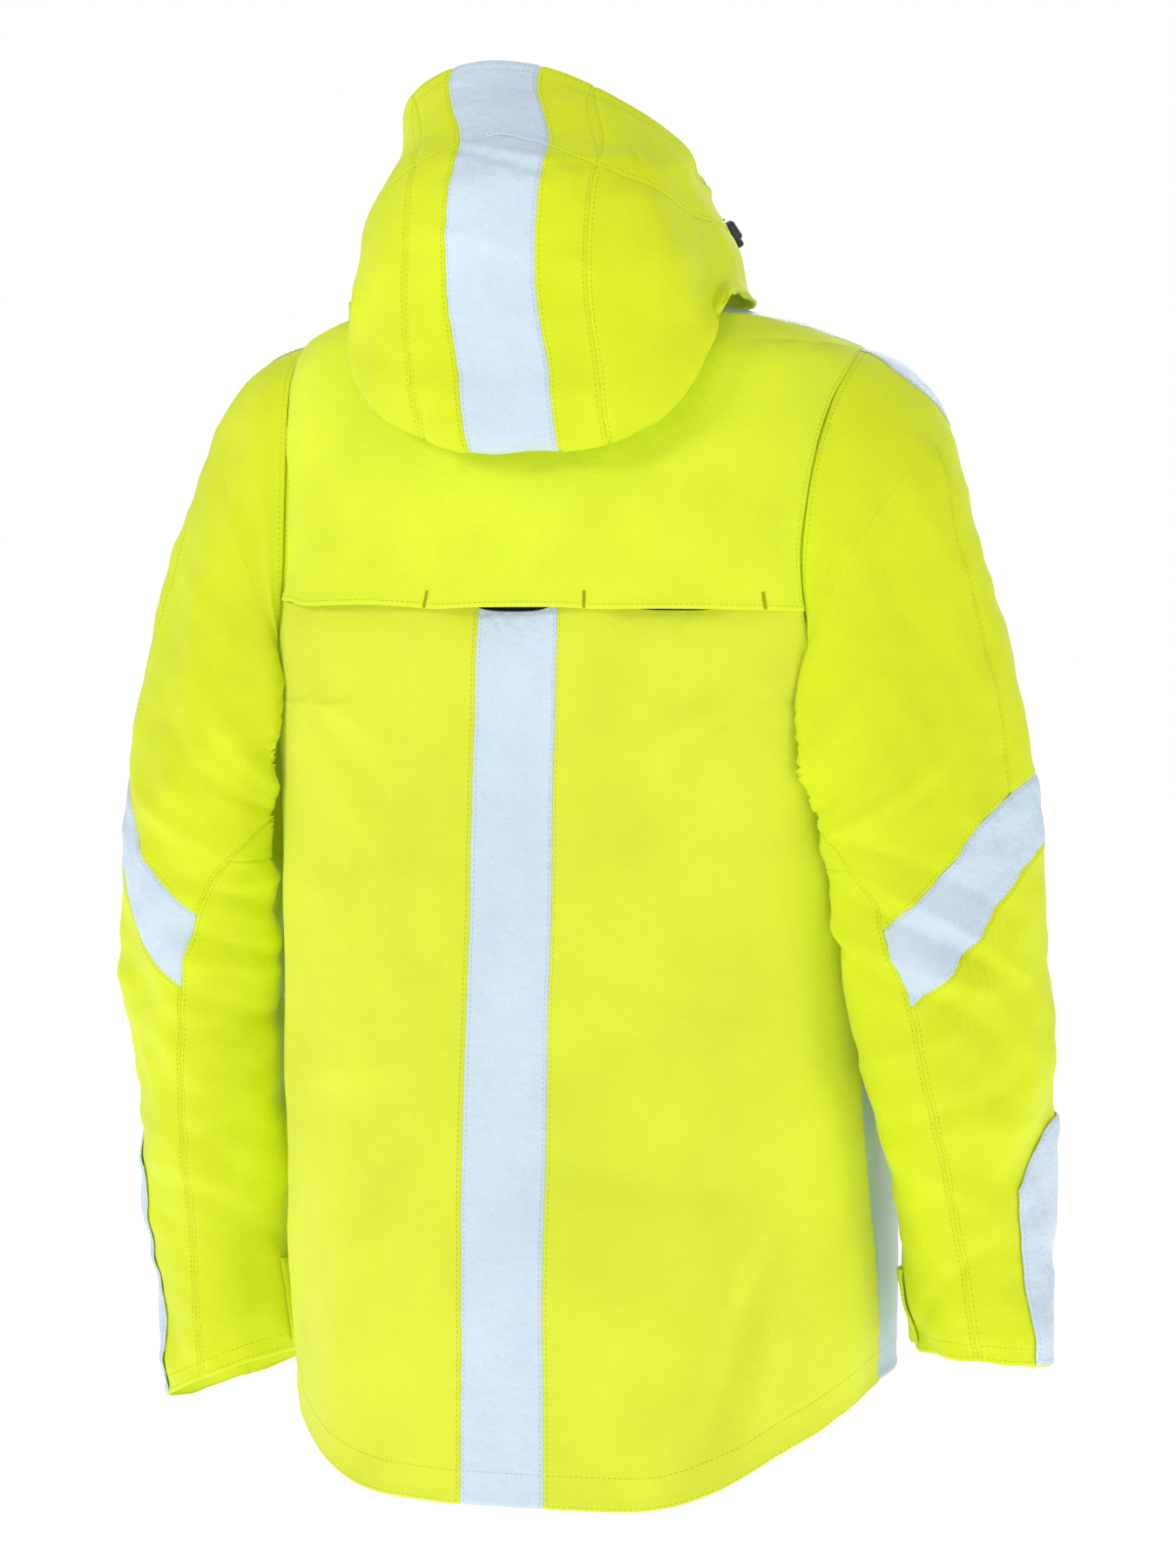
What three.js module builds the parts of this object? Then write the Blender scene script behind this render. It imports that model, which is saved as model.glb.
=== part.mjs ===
// Foul weather jacket, hanging with its sleeves down and its hood standing.
// Millimetres, +Z up. The front faces -Y, the back +Y, and +X is the wearer's left.
// Every surface is written in a body frame with z = 0 at the hem's lowest point and
// x = y = 0 on the body's axis; the whole group is then moved so that the hang loop is the origin.
import * as THREE from 'three';

// ---------------------------------------------------------------- driving dimensions
const LOOP = [0, 72, 838];       // hang loop inside the back neck, in the body frame
const CLOTH = 1.6;               // drawn thickness of one layer of coated cloth
const SEAM = 0.35;               // half gap left at a seam between two panels
const STRIP_HALF = 30;           // half width of the back's light strip
const HEM_RISE = 70;             // how much higher the side and front hem is than the tail
const FLAP_V = 0.690;            // where the yoke's free lower edge is
const FLAP_LIFT = 6;             // how far that edge stands off the back
const ARM_V0 = 0.615, ARM_V1 = 0.905; // armhole, bottom and top
const LEFT_RAISE = 6, HEAD_FULL = [17, 10]; // left shoulder's rise, fullness of the sleeve heads left and right
const NECK_DROP = 50;             // how much lower the neck is in front
const ARM_FRONT = 17;             // the armhole's front half, in degrees round the body
const ARM_HALF = 26;              // half of the armhole's width, in degrees round the body
const ZIP_HALF_GAP = 0.8;        // half gap between the two zip tapes
const ZIP_TAPE = 15;             // visible width of one zip tape
const FRONT_Y0 = -155, FRONT_Y1 = -92; // front edge line at z = 0 and z = 800

// ---------------------------------------------------------------- helpers
const RAD = Math.PI / 180;
const clamp = (x, a, b) => Math.min(b, Math.max(a, x));
const step = (x, a, b) => { const t = clamp((x - a) / (b - a), 0, 1); return t * t * (3 - 2 * t); };
const lerp = (a, b, t) => a + (b - a) * t;
// reads a list of stations at a fraction of its length, so that neighbouring panels share them
const pick = (list, f) => { const x = clamp(f, 0, 1) * (list.length - 1), i = Math.min(list.length - 2, Math.floor(x)); return lerp(list[i], list[i + 1], x - i); };
// cubic through the rows of a table [key, value, value...]
function table(T, t) {
  const n = T.length;
  t = clamp(t, T[0][0], T[n - 1][0]);
  let i = 0;
  while (i < n - 2 && t >= T[i + 1][0]) i++;
  const h = T[i + 1][0] - T[i][0], u = (t - T[i][0]) / h;
  const slope = (k, c) => k === 0 ? (T[1][c] - T[0][c]) / (T[1][0] - T[0][0])
    : k === n - 1 ? (T[k][c] - T[k - 1][c]) / (T[k][0] - T[k - 1][0])
      : (T[k + 1][c] - T[k - 1][c]) / (T[k + 1][0] - T[k - 1][0]);
  const out = [];
  for (let c = 1; c < T[0].length; c++) {
    const a = T[i][c], b = T[i + 1][c], m = slope(i, c) * h, q = slope(i + 1, c) * h;
    out.push((2 * u ** 3 - 3 * u ** 2 + 1) * a + (u ** 3 - 2 * u ** 2 + u) * m + (3 * u ** 2 - 2 * u ** 3) * b + (u ** 3 - u ** 2) * q);
  }
  return out;
}

// ---------------------------------------------------------------- the body of the jacket
// v, z, half width, back depth, back fullness, front fullness
const TORSO = [
  [0.00, 12, 217, 188, 2.2, 2.9],
  [0.12, 108, 219, 187, 2.3, 2.9],
  [0.30, 272, 220, 182, 2.5, 2.7],
  [0.48, 440, 218, 172, 2.9, 2.6],
  [0.62, 570, 217, 163, 3.4, 2.7],
  [0.70, 640, 217, 154, 3.8, 2.9],
  [0.78, 712, 217, 143, 3.9, 2.9],
  [0.85, 773, 216, 128, 3.6, 2.8],
  [0.90, 811, 206, 114, 3.1, 2.6],
  [0.94, 831, 165, 101, 2.7, 2.4],
  [0.97, 842, 122, 92, 2.3, 2.2],
  [1.00, 853, 88, 84, 2.1, 2.1]];
// the front edge is a straight line, so that the zip runs straight
const frontZ = (v) => { const z = table(TORSO, v)[0]; return z + HEM_RISE * (1 - step(z, 0, 340)) - NECK_DROP * step(v, 0.80, 1); };
const frontDepth = (v) => -lerp(FRONT_Y0, FRONT_Y1, frontZ(v) / 800);
const hemRise = (deg) => HEM_RISE * step(Math.abs(deg), 26, 92);
function torsoBoth(deg, v) { // before the left shoulder is raised
  let [z, W, Db, nb, nf] = table(TORSO, v);
  const c = Math.cos(deg * RAD), s = Math.sin(deg * RAD);
  const Df = frontDepth(v);
  const D = c >= 0 ? Db : Df, n = c >= 0 ? nb : nf;
  const r = (Math.abs(c / D) ** n + Math.abs(s / W) ** n) ** (-1 / n);
  z += hemRise(deg) * (1 - step(z, 0, 340));
  z -= NECK_DROP * step(v, 0.80, 1) * (0.5 - 0.5 * c) ** 3.5;
  return new THREE.Vector3(r * s, r * c, z);
}
// the jacket hangs a little to the wearer's right, so its left shoulder stands higher
function settle(p) {
  if (p.x > 0) p.z += LEFT_RAISE * step(p.x, 50, 170) * step(p.z, 560, 760);
  return p;
}
const torsoAt = (deg, v) => settle(torsoBoth(deg, v));
const vOfZ = (z) => { let a = 0, b = 1; for (let i = 0; i < 24; i++) { const m = (a + b) / 2; if (table(TORSO, m)[0] < z) a = m; else b = m; } return (a + b) / 2; };

// armhole on the body: side seam below it, shoulder seam above it
const SIDE = [[0, 88], [0.16, 84], [0.32, 78], [0.50, 76], [ARM_V0, 80]];
const sideSeam = (v) => table(SIDE, v)[0];
const armMid = (v) => lerp(80, 92, (v - ARM_V0) / (ARM_V1 - ARM_V0));
const armShape = (v) => Math.max(0, 1 - Math.abs((2 * v - ARM_V0 - ARM_V1) / (ARM_V1 - ARM_V0)) ** 2.3) ** (1 / 2.3);
const shoulderSeam = (v) => lerp(92, 56, clamp((v - ARM_V1 - 0.01) / 0.035, 0, 1)); // it runs back from the armhole onto the crest
const backEdge = (v) => v <= ARM_V0 ? sideSeam(v) : v >= ARM_V1 ? shoulderSeam(v) : armMid(v) - ARM_HALF * armShape(v);
const frontEdge = (v) => v <= ARM_V0 ? sideSeam(v) : v >= ARM_V1 ? 92 : armMid(v) + ARM_FRONT * armShape(v);
const degOf = (mm, v) => mm / (RAD * table(TORSO, clamp(v, 0, 1))[2]);

// ---------------------------------------------------------------- sleeves
// t, x, y, z, long half axis, short half axis, tilt outward, tilt backward
const ARM = {
  1: [
    [0.00, 0, 0, 0, 0, 0, 0, 0],
    [0.14, 221, 52, 603, 80, 66, 1.12, 0.0],
    [0.28, 254, 61, 530, 80, 64, 0.48, 0.0],
    [0.45, 271, 68, 468, 77, 61, 0.10, 0.0],
    [0.60, 280, 60, 385, 74, 59, 0.0, 0.0],
    [0.75, 285, 40, 290, 68, 54, 0.0, 0.0],
    [0.90, 287, 12, 165, 57, 51, -0.08, 0.05],
    [1.00, 284, -10, 54, 50, 52, -0.42, 0.12]],
  '-1': [
    [0.00, 0, 0, 0, 0, 0, 0, 0],
    [0.14, 219, 52, 603, 80, 66, 1.12, 0.0],
    [0.28, 253, 60, 532, 80, 64, 0.48, 0.0],
    [0.45, 271, 68, 472, 77, 61, 0.10, 0.0],
    [0.60, 281, 60, 392, 74, 59, 0.0, 0.0],
    [0.75, 287, 40, 300, 68, 54, 0.0, 0.0],
    [0.90, 290, 12, 186, 53, 49, 0.0, 0.05],
    [1.00, 293, -6, 102, 46, 49, -0.05, 0.10]],
};
const ARM_LONG = -45; // the section's long axis points outward and forward
// the armhole curve: q = 0 at the shoulder, 90 at the back, 180 in the armpit, 270 at the front
function armhole(q) {
  const c = Math.cos(q * RAD), s = Math.sin(q * RAD), p = 2 / 2.3;
  const v = lerp(ARM_V0, ARM_V1, 0.5 + 0.5 * Math.sign(c) * Math.abs(c) ** p);
  return torsoBoth(armMid(v) - (s > 0 ? ARM_HALF : -ARM_FRONT) * Math.abs(s) ** p, v);
}
function clearBody(p, margin) { // keeps a sleeve point outside the body
  if (p.z > 740) return p;
  const v = vOfZ(p.z), [, W, Db, nb, nf] = table(TORSO, v);
  const Df = frontDepth(v);
  const D = p.y >= 0 ? Db : Df, n = p.y >= 0 ? nb : nf, k = Math.abs(p.y / D);
  if (k >= 1) return p;
  const x = W * (1 - k ** n) ** (1 / n) + margin;
  if (p.x < x) p.x = lerp(p.x, x, 1 - step(p.z, 650, 740));
  return p;
}
function ring(T, k, q) {
  if (k === 0) return armhole(q);
  const [, x, y, z, A, B, to, tb] = T[k];
  const d = (q - ARM_LONG) * RAD, r = ((Math.abs(Math.cos(d)) / A) ** 2.2 + (Math.abs(Math.sin(d)) / B) ** 2.2) ** (-1 / 2.2);
  const c = r * Math.cos(q * RAD), s = r * Math.sin(q * RAD);
  return new THREE.Vector3(x + c, y + s, z + to * c + tb * s);
}
function sleeveAt(side, q, t) {
  const T = ARM[side], n = T.length;
  t = clamp(t, 0, 1);
  let i = 0;
  while (i < n - 2 && t >= T[i + 1][0]) i++;
  const P = (k) => ring(T, k, q);
  const h = T[i + 1][0] - T[i][0], u = (t - T[i][0]) / h;
  const slope = (k) => {
    if (k === 0) { // leaves the body outward at the shoulder, downward in the armpit
      const c = 0.5 + 0.5 * Math.cos(q * RAD);
      return new THREE.Vector3(lerp(160, 820, c), 0, lerp(-640, -330, c));
    }
    if (k === n - 1) return P(k).sub(P(k - 1)).divideScalar(T[k][0] - T[k - 1][0]);
    return P(k + 1).sub(P(k - 1)).divideScalar(T[k + 1][0] - T[k - 1][0]);
  };
  const p = P(i).multiplyScalar(2 * u ** 3 - 3 * u ** 2 + 1)
    .addScaledVector(slope(i), (u ** 3 - 2 * u ** 2 + u) * h)
    .addScaledVector(P(i + 1), 3 * u ** 2 - 2 * u ** 3)
    .addScaledVector(slope(i + 1), (u ** 3 - u ** 2) * h);
  if (t > 0.001) clearBody(p, 4.5 * step(t, 0, 0.06));
  const full = (side > 0 ? HEAD_FULL[0] : HEAD_FULL[1]) * Math.sin(Math.PI * clamp(t / 0.14, 0, 1)) * Math.max(0, Math.cos(q * RAD)) ** 1.5;
  p.x += 0.6 * full;
  p.z += 0.8 * full;
  p.x *= side;
  return settle(p);
}

// ---------------------------------------------------------------- hood
// w, back y, back z, half width, y and z where it is widest, fullness, foot angle, foot y, foot z, fullness across
const HOOD = [
  [0.00, 80, 860, 84, 8, 858, 2.1, 135, -68, 824, 1.0],
  [0.05, 104, 866, 100, 25, 866, 2.2, 142, -67, 829, 1.0],
  [0.10, 130, 840, 118, 50, 864, 2.3, 150, -61, 832, 0.8],
  [0.16, 146, 786, 130, 75, 858, 2.4, 150, -60, 836, 0.62],
  [0.20, 156, 742, 138, 88, 852, 2.5, 149, -57, 838, 0.55],
  [0.25, 168, 749, 137, 88, 854, 2.6, 147, -53, 843, 0.60],
  [0.31, 178, 780, 134, 84, 860, 2.7, 148, -44, 850, 0.7],
  [0.45, 187, 842, 131, 80, 878, 2.6, 142, -24, 872, 1.0],
  [0.60, 187, 899, 120, 72, 903, 2.5, 131, -3, 897, 1.0],
  [0.74, 172, 940, 113, 69, 917, 2.4, 120, 18, 915, 1.0],
  [0.86, 138, 964, 110, 62, 930, 2.3, 104, 34, 924, 1.0],
  [1.00, 96, 1013, 106, 58, 935, 1.9, 95, 50, 931, 1.0]];
const hoodLean = (z, w) => 8 * lerp(step(z, 840, 900), step(z, 775, 862), step(w, 0.12, 0.25)) + 30 * step(z, 940, 1003);
function hoodAt(u, w) { // u from -1 (wearer's right) to 1
  const [Ya, Za, W, Yw, Zw, n, a, Yf, Zf, e] = table(HOOD, w);
  const c = Math.cos(u * a * RAD), s = Math.sin(u * a * RAD), p = 2 / n;
  const h = Math.sign(s) * Math.abs(s) ** p;
  const g = Math.abs(c) ** p, k = g / Math.abs(Math.cos(a * RAD)) ** p;
  const y = c >= 0 ? Yw + (Ya - Yw) * g ** e : Yw + (Yf - Yw) * k;
  const z = c >= 0 ? Zw + (Za - Zw) * g : Zw + (Zf - Zw) * k;
  return new THREE.Vector3(W * h + hoodLean(z, w), y, z);
}

// ---------------------------------------------------------------- closed shells from surfaces
const material = (color, roughness = 0.6, metalness = 0) => new THREE.MeshStandardMaterial({ color, roughness, metalness });
const M = {
  yellow: material(0xe0f03a, 0.62), light: material(0xd8e8f9, 0.42), mesh: material(0x2c3444, 0.9),
  lining: material(0x39404c, 0.8), tape: material(0x2a3038, 0.6), metal: material(0xb9bec4, 0.35, 0.9),
  dark: material(0x1e2432, 0.5), webbing: material(0x20242c, 0.85), bag: material(0x3a424e, 0.85),
};
const jacket = new THREE.Group();
jacket.position.set(-LOOP[0], -LOOP[1], -LOOP[2]);
function mesh(name, geometry, mat) {
  const m = new THREE.Mesh(geometry, mat);
  m.name = name;
  jacket.add(m);
  return m;
}
function closed(points, faces) {
  let vol = 0;
  for (const [a, b, c] of faces) vol += points[a].dot(new THREE.Vector3().crossVectors(points[b], points[c]));
  if (vol < 0) faces = faces.map(([a, b, c]) => [a, c, b]);
  const g = new THREE.BufferGeometry();
  g.setAttribute('position', new THREE.Float32BufferAttribute(points.flatMap((p) => [p.x, p.y, p.z]), 3));
  g.setIndex(faces.flat());
  return g;
}
// f(u, w) with u and w from 0 to 1 gives the outer face; the inner face is one cloth thickness in
function shell(f, nu, nw, { thick = CLOTH, lift = 0, wrap = false, out = -1 } = {}) {
  const U = wrap ? nu : nu + 1, pts = [], faces = [], e = 1e-3;
  const id = (i, j, k) => k * U * (nw + 1) + j * U + (wrap ? i % nu : i);
  const rows = [[], []];
  for (let j = 0; j <= nw; j++) for (let i = 0; i < U; i++) {
    const u = i / nu, w = j / nw, uu = wrap ? u : clamp(u, e, 1 - e), ww = clamp(w, e, 1 - e);
    const du = f(uu + e, ww).sub(f(uu - e, ww)), dw = f(uu, ww + e).sub(f(uu, ww - e));
    const n = new THREE.Vector3().crossVectors(du, dw).normalize().multiplyScalar(out);
    const p = f(u, w), l = typeof lift === 'function' ? lift(u, w) : lift;
    rows[0].push(p.clone().addScaledVector(n, l));
    rows[1].push(p.clone().addScaledVector(n, l - thick));
  }
  pts.push(...rows[0], ...rows[1]);
  const quad = (a, b, c, d) => {
    if (pts[a].distanceTo(pts[c]) <= pts[b].distanceTo(pts[d])) faces.push([a, b, c], [a, c, d]);
    else faces.push([a, b, d], [b, c, d]);
  };
  for (let j = 0; j < nw; j++) for (let i = 0; i < nu; i++) {
    quad(id(i, j, 0), id(i + 1, j, 0), id(i + 1, j + 1, 0), id(i, j + 1, 0));
    quad(id(i, j + 1, 1), id(i + 1, j + 1, 1), id(i + 1, j, 1), id(i, j, 1));
  }
  for (let i = 0; i < nu; i++) {
    quad(id(i, 0, 1), id(i + 1, 0, 1), id(i + 1, 0, 0), id(i, 0, 0));
    quad(id(i, nw, 0), id(i + 1, nw, 0), id(i + 1, nw, 1), id(i, nw, 1));
  }
  if (!wrap) for (let j = 0; j < nw; j++) {
    quad(id(0, j, 0), id(0, j + 1, 0), id(0, j + 1, 1), id(0, j, 1));
    quad(id(nu, j, 1), id(nu, j + 1, 1), id(nu, j + 1, 0), id(nu, j, 0));
  }
  return closed(pts, faces);
}

// ---------------------------------------------------------------- body panels
const SIDES = [['left', 1], ['right', -1]];
const depthBack = (v) => table(TORSO, v)[2];
const stripDeg = (v, mm = STRIP_HALF) => Math.asin(mm / depthBack(v)) / RAD;
const gap = (v) => SEAM / (RAD * Math.max(88, table(TORSO, v)[1]));
const zipEdge = (v) => 180 - Math.atan2(9, frontDepth(v)) / RAD;
const onBody = (side, deg, v) => { const p = torsoBoth(deg, v); p.x *= side; return settle(p); };

for (const [name, s] of SIDES) { // lower back, one half each side of the light strip
  mesh(`back_panel_${name}`, shell((u, w) => {
    const v = 0.715 * w;
    return onBody(s, lerp(stripDeg(v) + gap(v), backEdge(v) - gap(v), u), v);
  }, 7, 14, { out: -s }), M.yellow);
}
mesh('back_strip', shell((u, w) => {
  const v = 0.715 * w, a = stripDeg(v) - gap(v);
  return torsoAt(lerp(-a, a, u), v);
}, 2, 14), M.light);
// the vented yoke: its lower edge hangs free over the top of the lower back
const yokeLift = (v) => 2.8 + FLAP_LIFT * (1 - step(v, FLAP_V, 0.76));
mesh('back_yoke', shell((u, w) => {
  const v = lerp(FLAP_V, 0.985, w), a = backEdge(v) - gap(v);
  return torsoAt(lerp(-a, a, u), v);
}, 14, 11, { lift: (u, w) => yokeLift(lerp(FLAP_V, 0.985, w)) }), M.yellow);
mesh('vent_mesh', shell((u, w) => torsoAt(lerp(-44, 44, u), lerp(0.718, 0.80, w)), 8, 3, { thick: 1 }), M.mesh);

// front: a light gore at the side that tapers to the armpit, a yellow front, a light band over the shoulder
const GORE = [[0, 137], [0.30, 132], [0.50, 110], [0.58, 93], [ARM_V0, 80.5]];
const goreFront = (v) => table(GORE, v)[0];
const BAND_V = 0.875;
const FRONT_ROWS = [0, 0.05, 0.11, 0.17, 0.23, 0.29, 0.35, 0.40, 0.45, 0.50, 0.54, 0.57, 0.597, 0.64, 0.70, 0.76, 0.82, 0.857, 0.881, 0.915, 0.95, 0.985];
const bandFront = (v) => lerp(102.8, 130, (v - BAND_V) / (1 - BAND_V));
for (const [name, s] of SIDES) {
  mesh(`front_gore_${name}`, shell((u, w) => {
    const v = pick(FRONT_ROWS.slice(0, 13), w);
    return onBody(s, lerp(sideSeam(v) + gap(v), goreFront(v) - gap(v), u), v);
  }, 5, 12, { out: -s }), M.light);
  mesh(`front_panel_${name}`, shell((u, w) => {
    const v = pick(FRONT_ROWS, w), a = v < ARM_V0 ? goreFront(v) : v < BAND_V ? frontEdge(v) : bandFront(v);
    return onBody(s, lerp(a + gap(v), zipEdge(v), u), v);
  }, 6, 21, { out: -s }), M.yellow);
  mesh(`shoulder_band_${name}`, shell((u, w) => {
    const v = pick(FRONT_ROWS.slice(18), w), a = v < ARM_V1 ? frontEdge(v) : shoulderSeam(v);
    return onBody(s, lerp(a + gap(v), bandFront(v) - gap(v), u), v);
  }, 3, 3, { out: -s }), M.light);
}
// inside: lining, hem facing, collar
mesh('lining', shell((u, w) => torsoAt(lerp(-166, 166, u), lerp(0.065, 0.600, w)), 24, 7, { lift: -11, thick: 1 }), M.lining);
mesh('hem_facing', shell((u, w) => torsoAt(lerp(-166, 166, u), lerp(0.006, 0.050, w)), 28, 1, { lift: -4, thick: 1 }), M.lining);
const COLLAR_TOP = 62;
mesh('collar', shell((u, w) => {
  const d = lerp(-174, 174, u), p = torsoAt(d, 1), k = lerp(0.90, 0.86, w), f = 0.5 - 0.5 * Math.cos(d * RAD);
  return new THREE.Vector3(p.x * k, lerp(p.y * k, p.y + 5, f ** 3) + 6 * w * f, p.z + COLLAR_TOP * w);
}, 24, 2, { thick: 2.4, out: -1 }), M.yellow);

// ---------------------------------------------------------------- front zip
const ZIP_DIR = new THREE.Vector3(0, (FRONT_Y1 - FRONT_Y0) / 800, 1).normalize();
const ZIP_TILT = Math.atan2(FRONT_Y0 - FRONT_Y1, 800); // turn about X that stands Z along the front edge
const onZip = (z, depth = 0) => new THREE.Vector3(0, lerp(FRONT_Y0, FRONT_Y1, z / 800), z)
  .addScaledVector(new THREE.Vector3(0, ZIP_DIR.z, -ZIP_DIR.y), depth); // depth is inward
const ZIP_Z0 = 88, ZIP_Z1 = 862;
function alongZip(name, w, d, z0, z1, x, depth, mat) { // a plate whose outer face is `depth` inside the front edge
  const g = new THREE.BoxGeometry(w, d, (z1 - z0) / ZIP_DIR.z), m = mesh(name, g, mat);
  m.rotation.x = ZIP_TILT;
  m.position.copy(onZip((z0 + z1) / 2, depth + d / 2)).setX(x);
  return m;
}
const TAPE_IN = 3.4, TAPE_T = 1.4;
for (const [name, s] of SIDES) alongZip(`zip_tape_${name}`, ZIP_TAPE, TAPE_T, ZIP_Z0, ZIP_Z1, s * (ZIP_HALF_GAP + ZIP_TAPE / 2), TAPE_IN, M.tape);
alongZip('storm_guard', 52, 1.2, ZIP_Z0 + 4, 800, 0, 8.2, M.yellow);
alongZip('zip_box', 11, 6.2, ZIP_Z0 - 12, ZIP_Z0 - 0.6, 0, 1.2, M.metal);
// a slider: front plate with two cheeks, a blade through the gap, and a back plate
function sliderShape(back) {
  const h = 4.6, f = TAPE_IN - 0.5, s = new THREE.Shape(); // x across, y inward
  const pts = [[-h, f], [-h, f - 1.5], [-2.9, f - 1.5], [-2.9, f - 4.0], [-1.9, f - 4.0], [-1.9, f - 1.5],
    [1.9, f - 1.5], [1.9, f - 4.0], [2.9, f - 4.0], [2.9, f - 1.5], [h, f - 1.5], [h, f]];
  if (back) pts.push([0.4, f], [0.4, f + TAPE_T + 1.0], [h, f + TAPE_T + 1.0], [h, f + TAPE_T + 2.2], [-h, f + TAPE_T + 2.2], [-h, f + TAPE_T + 1.0], [-0.4, f + TAPE_T + 1.0], [-0.4, f]);
  s.moveTo(...pts[0]);
  for (const q of pts.slice(1)) s.lineTo(...q);
  s.closePath();
  return s;
}
function pullerShape() { // hangs from its hinge at the origin
  const s = new THREE.Shape();
  s.moveTo(-1.5, 0.9); s.lineTo(1.5, 0.9); s.lineTo(1.5, -12.6); s.lineTo(4, -16); s.lineTo(4.5, -36);
  s.absarc(0, -36, 4.5, 0, -Math.PI, true); s.lineTo(-4, -16); s.lineTo(-1.5, -12.6); s.closePath();
  const hole = new THREE.Path();
  hole.absarc(0, -36, 2, 0, 2 * Math.PI, false);
  s.holes.push(hole);
  return s;
}
const SLIDER_LEN = 15;
function placeSlider(name, back, frame) { // frame: Matrix4 with x across, y inward, z up the zip
  const g = new THREE.ExtrudeGeometry(sliderShape(back), { depth: SLIDER_LEN, bevelEnabled: false });
  g.applyMatrix4(frame);
  mesh(name, g, M.metal);
}
function placePuller(name, frame) {
  const g = new THREE.ExtrudeGeometry(pullerShape(), { depth: 1.5, bevelEnabled: false, curveSegments: 10 });
  g.applyMatrix4(new THREE.Matrix4().makeRotationX(Math.PI / 2)); // shape's y becomes z, its depth becomes -y
  g.applyMatrix4(new THREE.Matrix4().makeTranslation(0, TAPE_IN - 0.5 - 1.5 - 0.6, SLIDER_LEN - 3));
  g.applyMatrix4(frame);
  mesh(name, g, M.tape);
}
const zipFrame = new THREE.Matrix4().makeRotationX(ZIP_TILT).setPosition(onZip(ZIP_Z1 - 22));
placeSlider('zip_slider', true, zipFrame);
placePuller('zip_puller', zipFrame);

// ---------------------------------------------------------------- hand pockets
const POCKET_DEG = 113, POCKET_V0 = 0.20, POCKET_V1 = 0.375;
const pocketFrames = {};
for (const [name, s] of SIDES) {
  const a = onBody(s, POCKET_DEG, POCKET_V0), b = onBody(s, POCKET_DEG, POCKET_V1);
  const z = b.clone().sub(a).normalize();
  const t = onBody(s, POCKET_DEG + 1, 0.29).sub(onBody(s, POCKET_DEG - 1, 0.29));
  const n = new THREE.Vector3().crossVectors(t, z).multiplyScalar(s).normalize(); // outward
  if (n.dot(new THREE.Vector3(s, -1, 0)) < 0) n.negate();
  const y = n.clone().negate(), x = new THREE.Vector3().crossVectors(y, z).normalize();
  const mid = onBody(s, POCKET_DEG, 0.29);
  const bulge = Math.max(0, mid.clone().sub(a).dot(n));
  const len = a.distanceTo(b);
  const f = new THREE.Matrix4().makeBasis(x, y, z).setPosition(a.clone().addScaledVector(n, bulge + TAPE_IN + TAPE_T + 0.6));
  pocketFrames[name] = f;
  const tape = new THREE.BoxGeometry(13, TAPE_T, len).translate(0, TAPE_IN + TAPE_T / 2, len / 2);
  tape.applyMatrix4(f);
  mesh(`pocket_zip_${name}`, tape, M.tape);
  const up = f.clone().multiply(new THREE.Matrix4().makeTranslation(0, 0, len - SLIDER_LEN - 3));
  placeSlider(`pocket_slider_${name}`, false, up);
  placePuller(`pocket_puller_${name}`, up);
  mesh(`pocket_bag_${name}`, shell((u, w) => onBody(s, lerp(110, 152, u), lerp(0.10, 0.40, w)), 4, 4, { lift: -4, thick: 4, out: -s }), M.bag);
}

// ---------------------------------------------------------------- hang loop, which is the origin
{
  const path = new THREE.CatmullRomCurve3([[-26, 73, 846], [-18, 72.5, 841], [-8, 72, 838.3], [0, 72, 838], [8, 72, 838.3], [18, 72.5, 841], [26, 73, 846]].map((p) => new THREE.Vector3(...p)));
  const s = new THREE.Shape();
  s.moveTo(-1, -4); s.lineTo(1, -4); s.lineTo(1, 4); s.lineTo(-1, 4); s.closePath();
  mesh('hang_loop', new THREE.ExtrudeGeometry(s, { steps: 16, extrudePath: path, bevelEnabled: false }), M.webbing);
}

// ---------------------------------------------------------------- hood panels
const HOOD_STRIP = 33, HOOD_SEAM = 68;
// the seam of the brim: w against the distance from the middle line
const BRIM = [[0, 0.833], [0.13, 0.803], [0.22, 0.768], [0.38, 0.715], [0.54, 0.665], [0.64, 0.610], [0.80, 0.54], [1.00, 0.47]];
const brimW = (u) => table(BRIM, Math.abs(u))[0];
const uOf = (mm, w) => { // the u at which the hood is mm from its middle line
  const [, , W, , , n, a] = table(HOOD, w);
  return Math.asin(Math.min(1, (mm / W) ** (n / 2))) / RAD / a;
};
const HOOD_W0 = 0.0, wGap = 0.0012;
const hoodPanel = (a, b, upper) => (u, w) => {
  let q = 0, k = 0;
  for (let i = 0; i < 8; i++) {
    k = upper ? lerp(brimW(q) + wGap, 1, w) : lerp(HOOD_W0, brimW(q) - wGap, w);
    q = lerp(a(k), b(k), u);
  }
  return hoodAt(q, k);
};
const strip = (k, e = 0) => uOf(HOOD_STRIP + e, k), seam = (k, e = 0) => uOf(HOOD_SEAM + e, k);
mesh('hood_strip', shell(hoodPanel((k) => -strip(k, -SEAM), (k) => strip(k, -SEAM), false), 2, 20, { out: -1 }), M.light);
mesh('brim_strip', shell(hoodPanel((k) => -strip(k, -SEAM), (k) => strip(k, -SEAM), true), 2, 6, { out: -1 }), M.light);
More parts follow.
